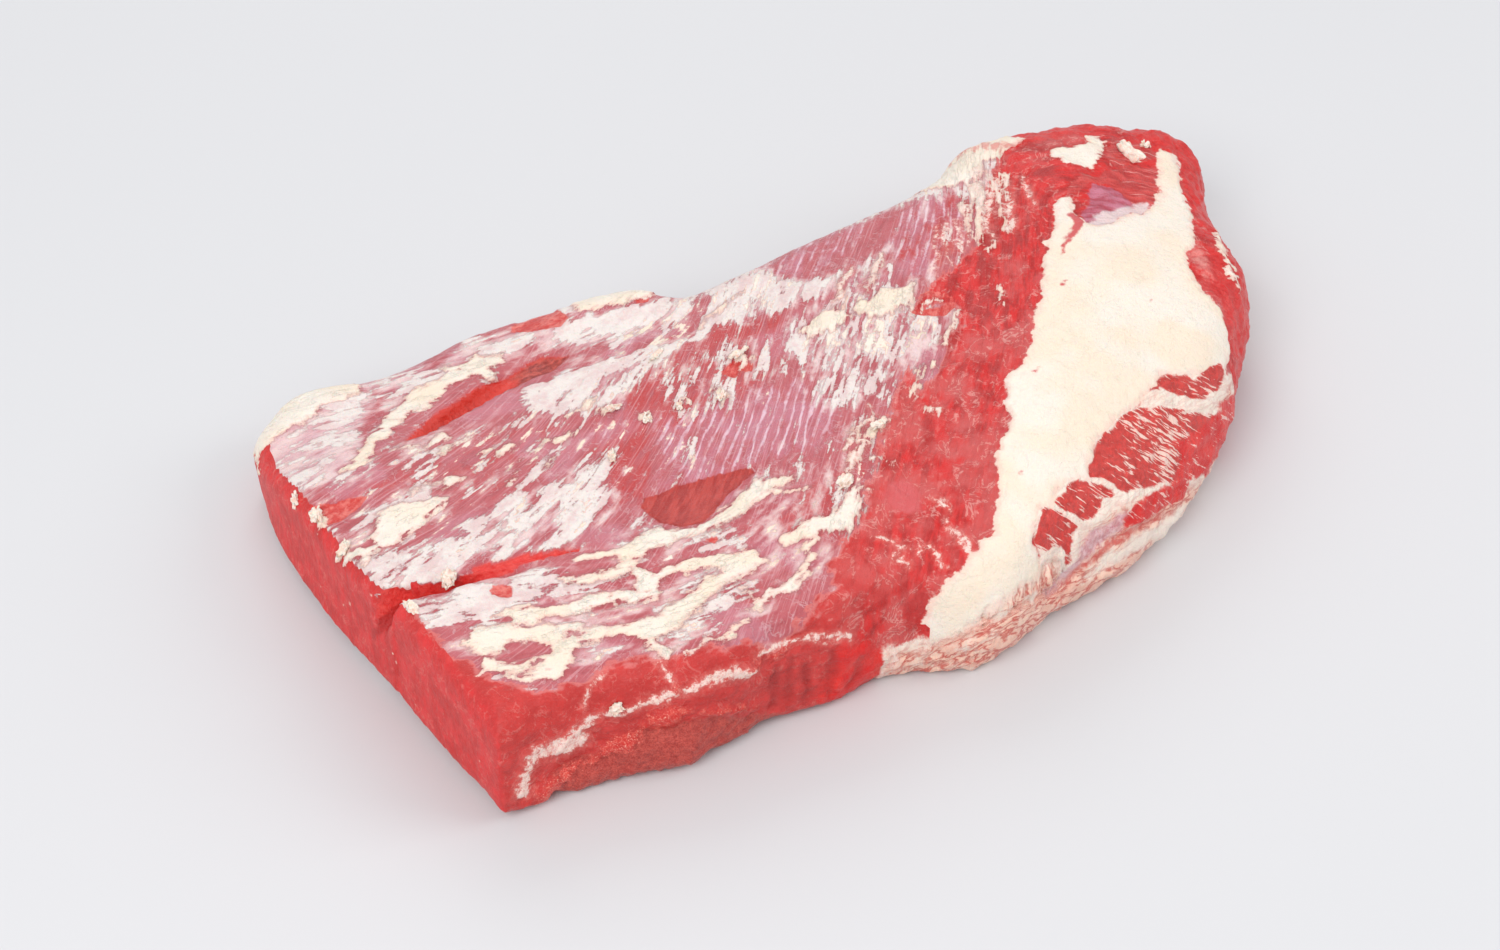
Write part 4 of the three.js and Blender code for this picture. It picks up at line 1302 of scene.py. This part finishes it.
    def ruled_with_lines(self, tone):
        """Adds the even pale lines that run along the fibres."""
        waver = self.sum_of((1.0, self.across), (0.8, self.streak), (0.4, self.other))
        ridge = self.math("SINE", self.math("MULTIPLY", waver, 2 * math.pi / RULED_STEP))
        ruled = self.sum_of(
            (0.9, self.fact("ruled")), (0.25, self.other), (0.7, self.ragged), (0.1, self.broad))
        ruled = self.rise(ruled, 0.5, 1.1)
        tone = self.mix(self.math("MULTIPLY", ruled, 0.4), tone, srgb(200, 128, 148))
        lines = self.both(self.rise(self.sum_of((1.0, ridge), (1.5, self.fine)), 0.45, 1.0), ruled)
        return self.mix(self.math("MULTIPLY", lines, 0.85), tone, srgb(234, 202, 212))

    def milky_film(self):
        haze = self.sum_of(
            (1.0, self.fact("haze")), (0.3, self.other), (1.7, self.fine), (0.5, self.ragged))
        haze = self.both(self.rise(haze, 0.2, 1.1), self.free)
        self.lay(haze, self.grade(self.other, -1, 1, srgb(226, 186, 190), srgb(240, 216, 212)), 0.85)
        cover = self.sum_of((0.26, self.streak), (2.0, self.fine), (0.8, self.ragged), (0.3, self.crumb))
        level = self.math("SUBTRACT", self.math("ADD", cover, self.fact("film")), 0.5)
        self.thick_film = self.both(self.rise(level, 0.02, 0.2), self.free)
        shadow = self.both(self.rise(level, -0.12, 0.02), self.free)
        self.lay(shadow, srgb(184, 108, 110), 0.16)
        cloudy = self.sum_of((0.5, self.other), (3.0, self.ragged))
        tone = self.grade(cloudy, -0.9, 0.5, srgb(228, 204, 200), self.settings.film)
        self.lay(self.thick_film, tone, 0.92)
        violet = self.grade(self.fine, -0.12, 0.15, srgb(174, 70, 88), srgb(200, 124, 144))
        self.lay(self.area("violet", 4, 0.8), violet, 0.9)
        self.lay(self.area("violet veil", 6, 1.6), srgb(234, 218, 216), 0.85)

    def cream_flecks(self):
        fat = self.settings.fat
        tone = self.grade(self.broad, -1, 1, fat, toward(fat, srgb(244, 220, 190), 0.5))
        self.fat_tone = self.grade(self.crumb, 0.1, 0.2, tone, srgb(240, 196, 176), 0.2)
        scatter = self.sum_of(
            (0.2, self.other), (1.1, self.ragged), (1.9, self.fine), (1.0, self.fact("creamy")),
            (0.25, self.crumb))
        self.fleck = self.both(self.rise(scatter, 0.7, 0.77), self.free)
        self.lay(self.fleck, self.grade(scatter, 0.9, 0.7, self.fat_tone, srgb(243, 190, 178)))

    def wrinkled_cap(self):
        cap = self.settings.cap
        wrinkle = self.centred(self.fact("wrinkle way", "Vector"), 1, 3, 0.55, 0.3)
        off_muscle = self.math("SUBTRACT", 1.0, self.rise(self.fact("muscle"), -9, -2))
        pinkness = self.both(self.rise(self.fact("cap"), 0.0, 7), off_muscle)
        patchy = self.rise(self.sum_of((0.6, self.blotch), (3.0, self.ragged)), -1.9, 0.2)
        pinkness = self.both(pinkness, patchy)
        pink = self.grade(wrinkle, -0.2, 0.2, shade(cap, 0.88), shade(cap, 1.1))
        tone = self.mix(pinkness, toward(self.settings.fat, cap, 0.12), pink)
        crease = self.rise(self.math("ABSOLUTE", wrinkle), 0.095, 0.0)
        crease = self.both(crease, self.math("MULTIPLY_ADD", pinkness, 0.75, 0.2))
        tone = self.mix(crease, tone, srgb(204, 90, 78))
        lavender = self.grade(self.ragged, -0.1, 0.1, srgb(196, 130, 140), srgb(222, 184, 190))
        for name, ragged, soft, strength, over in (
                ("white cap", 5, 2, 0.85, srgb(250, 238, 224)),
                ("red crease", 4, 1.2, 0.8, srgb(206, 82, 74)),
                ("lavender", 4, 1.5, 0.8, lavender)):
            tone = self.mix(self.math("MULTIPLY", self.area(name, ragged, soft), strength), tone, over)
        self.lay(self.area("cap", 4, 0.8), tone)

    def seam_of_fat(self):
        self.seam = self.area("seam", 4, 0.5)
        inward = self.sum_of((1.0, self.fact("seam")), (5, self.ragged), (4, self.fine))
        self.lay(self.seam, self.grade(inward, 3.5, -0.5, self.fat_tone, srgb(244, 200, 186), 0.6))
        self.lay(self.area("notch", 3, 0.8), srgb(206, 50, 60), 0.9)

    def smeared_fat(self):
        level = self.sum_of(
            (1.0, self.fact("fat")), (4.5, self.ragged), (8.0, self.fine), (1.0, self.crumb),
            (0.4, self.other))
        # Painted shadow: a red-brown line on the skin just round the fat, so the fat looks raised.
        painted_shadow_round_fat = self.both(self.rise(level, -1.8, -0.4), self.free)
        self.lay(painted_shadow_round_fat, srgb(176, 92, 90), 0.35)
        self.smear = self.rise(level, -0.4, 0.4)
        self.soft_smear = self.rise(level, -1.2, 1.2)
        self.lay(self.smear, self.grade(level, 2.2, -0.4, self.fat_tone, srgb(243, 192, 180), 0.8))
        mottled = self.sum_of((1.0, self.fact("mottle")), (26, self.fine), (18, self.ragged))
        self.lay(self.both(self.rise(mottled, -2, 8), self.smear), srgb(222, 112, 104), 0.7)

    def pale_strands(self):
        """The thin strands on the top, and the pale ledge along the front edge."""
        level = self.sum_of(
            (1.0, self.fact("ledge")), (7.0, self.ragged), (2.5, self.fine), (2.0, self.crumb))
        self.lay(self.rise(level, -3.5, 1.0), srgb(234, 150, 138), 0.35)
        broken = self.rise(self.sum_of((1.0, self.ragged), (0.8, self.crumb)), -0.25, 0.1, 0.35, 1)
        self.lay(self.both(self.rise(level, -0.8, 0.8), broken), srgb(250, 226, 214), 0.9)

    def marbled_muscle(self):
        dark = self.settings.dark
        lines = self.noise(self.fact("comb way", "Vector"), 1, 2.5, 0.6, 0.7)
        rind = self.rise(self.fact("muscle"), 2.5, -0.5, 0, 0.06)
        level = self.sum_of((1.0, lines), (1.0, rind), (0.22, self.fact("marbling")), (0.02, self.blotch))
        tone = self.grade(self.ragged, -0.2, 0.2, dark, shade(dark, 1.5))
        tone = self.grade(level, 0.6, 0.67, tone, srgb(246, 216, 202), 0.88)
        self.lay(self.area("muscle", 2.5, 0.5), tone)
        strip = self.grade(self.blotch, -1, 1, srgb(210, 32, 30), srgb(224, 56, 50))
        slivers = self.sum_of((1.0, lines), (0.6, self.ragged))
        strip = self.grade(slivers, 0.6, 0.7, strip, srgb(246, 206, 194), 0.9)
        self.lay(self.area("red strip", 3.5, 0.8), strip)

    def slits(self):
        """The walls of the slits, darker deep down with painted shade, the gash from its upper lip down,
        dark there with a painted shadow line, and the slit's mouth, darkened with painted shade.
        """
        wall = self.grade(self.ragged, -0.2, 0.2, srgb(222, 48, 44), srgb(236, 82, 74))
        # Painted shade: the slit's walls turn dark red toward the bottom.
        wall = self.grade(self.fact("slit depth"), 12, 24, wall, srgb(176, 32, 32))
        # Painted shadow: a dark red line at one edge of the gash, lighter red across the rest of its wall.
        across = self.sum_of((1.0, self.fact("gash")), (0.5, self.ragged))
        gash = self.grade(across, 0.2, 0.5, srgb(146, 32, 32), srgb(220, 66, 54))
        fibres = self.sum_of((1.0, self.fine), (0.7, self.ragged))
        scooped = self.grade(fibres, -0.15, 0.15, srgb(144, 44, 38), srgb(202, 88, 76))
        gash = self.mix(self.fact("scoop"), gash, scooped)
        self.lay(self.fact("slit"), self.grade(self.fact("gash"), -1.5, -1.0, wall, gash))
        # Painted shade: darker red where the front slit opens on the cut end.
        self.lay(self.rise(self.fact("mouth"), -1.4, 0.8), srgb(178, 36, 34), 0.8)

    def surface(self):
        """The shine and the fine relief."""
        thick = self.math("MAXIMUM", self.smear, self.seam)
        fatty = self.math("MAXIMUM", thick, self.math("MAXIMUM", self.fleck, self.thick_film))
        lean_roughness = self.blend(self.fact("cut"), 0.32, 0.5)
        grooves = self.both(self.fine, self.rise(fatty, 0.0, 1.0, 1.6, 0.3))
        height = self.sum_of(
            (0.6, self.soft_smear), (0.25, self.fleck), (0.4, self.thick_film), (1.0, grooves),
            (1.1, self.ragged), (0.3, self.crumb), (0.15, self.veins))
        self.put_all(self.shader, {
            "Base Color": self.tone,
            "Roughness": self.blend(fatty, lean_roughness, 0.46),
            "IOR": 1.42,
            "Subsurface Weight": 0.12,
            "Subsurface Radius": (1.0, 0.35, 0.2),
            "Subsurface Scale": 3 * MM,
            "Coat Weight": 0.08,
            "Coat Roughness": 0.25,
            "Normal": self.bump(height, 1 * MM, 0.8),
        })


def meat_finish(settings):
    """Lays the meat's layers, the lowest first."""
    f = MeatFinish(settings)
    for layer in (f.lean_meat, f.wet_meat, f.front_face, f.dark_muscle, f.silverskin, f.milky_film,
                  f.cream_flecks, f.wrinkled_cap, f.seam_of_fat, f.smeared_fat, f.pale_strands,
                  f.marbled_muscle, f.slits, f.surface):
        layer()
    return f.material


def bit_finish(settings):
    """Cream fat with pinkish blotches."""
    f = Finish("loose bits of fat")
    blotch = f.noise(f.place, 0.5, 4, 0.6)
    f.put_all(f.shader, {
        "Base Color": f.grade(blotch, 0.4, 0.68, settings.fat, srgb(246, 206, 188)),
        "Roughness": 0.45,
        "Subsurface Weight": 0.12,
        "Subsurface Scale": 3 * MM,
        "Normal": f.bump(f.noise(f.place, 1.2, 3, 0.6), 0.4 * MM, 0.6),
    })
    return f.material


# ---------------------------------------------------------------------------------------
# Loose bits of fat
# ---------------------------------------------------------------------------------------
def lie_down(meat, x, y, reach):
    """The place and the way up for a bit at x, y: on the meat, or across a gap between high sides."""
    def drop(dx, dy):
        return meat.ray_cast(Vector((x + dx, y + dy, OVERHEAD)) * MM, (0, 0, -1))
    found, place, way, _ = drop(0, 0)
    if not found:
        raise RuntimeError(f"no meat under {x}, {y}")
    sides = ((reach, 0), (-reach, 0), (0, reach), (0, -reach))
    highest = max(drop(dx, dy)[1].z for dx, dy in sides)
    if highest - place.z > 4 * MM and way.z < 0.9 and y > FRONT_SLOPE:
        return Vector((place.x, place.y, highest - 1 * MM)), Vector((0, 0, 1))
    return place, way


def loose_bit(meat, name, x, y, length, width, thickness, heading):
    """One torn bit of fat, lumpy and curled up at its rim, pressed a little into the meat."""
    bpy.ops.mesh.primitive_ico_sphere_add(subdivisions=4, radius=1)
    bit = bpy.context.object
    bit.name = name
    ball = vectors(bit.data, "co")
    seed = sum(map(ord, name))
    boxy = ball / np.abs(ball).max(axis=1)[:, None]
    squareness = 0.7 if name == "block" else 0.15
    shape = ball + (boxy - ball) * squareness
    rim = np.hypot(ball[:, 0], ball[:, 1])
    raggedness = lumps(ball * 10 + seed, 7, seed)
    shape[:, :2] *= (1 + 0.36 * (1 - squareness) * raggedness * rim)[:, None]
    shape *= np.array([length, width, thickness]) / 2
    lumpiness = lumps(ball * 10 + seed, 9, seed + 5, 2) * 0.3 * thickness
    shape[:, 2] += lumpiness + (rim ** 3) * 0.22 * thickness
    place, way = lie_down(meat, x, y, length * 0.5)
    side = Vector((math.cos(math.radians(heading)), math.sin(math.radians(heading)), 0))
    across = way.cross(side).normalized()
    axes = np.array([across.cross(way), across, way])
    centre = np.array(place) / MM + np.array(way) * thickness * 0.2
    bit.data.vertices.foreach_set("co", ((shape @ axes + centre) * MM).ravel())
    bit.data.update()
    return bit


# ---------------------------------------------------------------------------------------
# Operators
# ---------------------------------------------------------------------------------------
def dress(piece, finish):
    """Gives a piece its finish and smooth shading."""
    piece.data.materials.append(finish)
    only(piece)
    bpy.ops.object.shade_smooth()


class BRISKET_OT_meat(bpy.types.Operator):
    """Lay the silverskin, the bare meat, the fat seam and the fat cap over the whole cut"""
    bl_idname = "brisket.meat"
    bl_label = "Meat"

    def execute(self, context):
        settings = context.scene.brisket_meat
        piece = copy_of_the_cut(settings.grain)
        mesh = piece.data
        points, normal = vectors(mesh, "co") / MM, vectors(mesh, "normal")
        facts = survey(points, normal)
        moved = points + normal * relief(points, facts, settings)[:, None]
        moved[:, 1] += ramp(facts["lip"], 0, 9) * LIP_LEAN
        moved[:, 2] = np.maximum(moved[:, 2], 0)
        mesh.vertices.foreach_set("co", (moved * MM).ravel())
        mesh.update()
        for name, values in facts.items():
            store(mesh, name, values)
        dress(piece, meat_finish(settings))
        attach(piece, "root")
        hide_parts("brisket")
        return {"FINISHED"}


class BRISKET_OT_bits(bpy.types.Operator):
    """Scatter the loose bits of fat over the meat"""
    bl_idname = "brisket.bits"
    bl_label = "Loose bits of fat"

    def execute(self, context):
        meat = bpy.data.objects["meat"]
        context.view_layer.update()
        bits = [loose_bit(meat, name, *sizes) for name, sizes in BITS.items()]
        bpy.ops.object.select_all(action="DESELECT")
        for bit in bits:
            bit.select_set(True)
        context.view_layer.objects.active = bits[0]
        bpy.ops.object.join()
        piece = context.object
        piece.name = "loose_bits_of_fat"
        dress(piece, bit_finish(context.scene.brisket_meat))
        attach(piece, "root")
        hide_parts("brisket")
        return {"FINISHED"}


class BRISKET_OT_stage(bpy.types.Operator):
    """Set the pale floor, the soft lights and the camera"""
    bl_idname = "brisket.stage"
    bl_label = "Stage"

    def execute(self, context):
        settings = context.scene.brisket_stage
        context.scene.view_settings.view_transform = "Standard"
        lay_the_floor(settings)
        light_the_stage(context.scene, settings)
        set_the_camera(context.scene, settings)
        return {"FINISHED"}


def lay_the_floor(settings):
    bpy.ops.object.select_all(action="DESELECT")
    bpy.ops.mesh.primitive_grid_add(x_subdivisions=8, y_subdivisions=8, size=12, location=(0, 0, 0))
    floor = bpy.context.object
    floor.name = "studio_floor"
    f = Finish("studio floor")
    f.put_all(f.shader, {"Base Color": tuple(settings.floor), "Roughness": 0.8})
    floor.data.materials.append(f.material)


def light_the_stage(scene, settings):
    """A pale world, and square lights that face the middle: name, place, size in metres, power."""
    scene.world = bpy.data.worlds.new("studio")
    scene.world.use_nodes = True
    sky = scene.world.node_tree.nodes["Background"].inputs
    sky["Color"].default_value = (0.96, 0.97, 1.0, 1)
    sky["Strength"].default_value = 0.64
    for name, place, size, power in (
            ("key_light", (-1.3, -1.0, 1.6), 1.2, settings.light),
            ("right_light", (1.3, -0.7, 1.1), 1.0, settings.light * 0.35),
            ("back_light", (0.2, 1.5, 1.4), 1.2, settings.light * 0.4)):
        bpy.ops.object.light_add(type="AREA", location=place)
        light = bpy.context.object
        light.name = name
        light.data.size = size
        light.data.energy = power
        light.rotation_euler = (-Vector(place)).to_track_quat("-Z", "Y").to_euler()


def set_the_camera(scene, settings):
    """Stands the camera off its target, square to the slanted plane."""
    back = Vector((math.sin(TURN) * math.cos(TILT), -math.cos(TURN) * math.cos(TILT), math.sin(TILT)))
    bpy.ops.object.camera_add(
        location=Vector(TARGET) * MM + back * settings.distance, rotation=(math.pi / 2 - TILT, 0, TURN))
    camera = bpy.context.object
    camera.name = "camera"
    camera.data.lens = settings.lens
    camera.data.sensor_width = 36
    camera.data.clip_start = 0.05
    scene.camera = camera


class BRISKET_PT_panel(bpy.types.Panel):
    """Lists the steps that build the brisket"""
    bl_label = "Brisket"
    bl_idname = "BRISKET_PT_panel"
    bl_space_type = "VIEW_3D"
    bl_region_type = "UI"
    bl_category = "Brisket"

    def draw(self, context):
        for step in STEPS:
            self.layout.operator(step.bl_idname)
        for group in (context.scene.brisket_meat, context.scene.brisket_stage):
            for name in group.bl_rna.properties.keys():
                if name not in {"rna_type", "name"}:
                    self.layout.prop(group, name)


STEPS = (BRISKET_OT_meat, BRISKET_OT_bits, BRISKET_OT_stage)
CLASSES = (BrisketMeat, BrisketStage, *STEPS, BRISKET_PT_panel)


def register():
    for cls in CLASSES:
        bpy.utils.register_class(cls)
    bpy.types.Scene.brisket_meat = bpy.props.PointerProperty(type=BrisketMeat)
    bpy.types.Scene.brisket_stage = bpy.props.PointerProperty(type=BrisketStage)


def unregister():
    del bpy.types.Scene.brisket_stage
    del bpy.types.Scene.brisket_meat
    for cls in reversed(CLASSES):
        bpy.utils.unregister_class(cls)


def main():
    register()
    bpy.ops.brisket.meat()
    bpy.ops.brisket.bits()
    bpy.ops.brisket.stage()


if __name__ == "__main__":
    main()
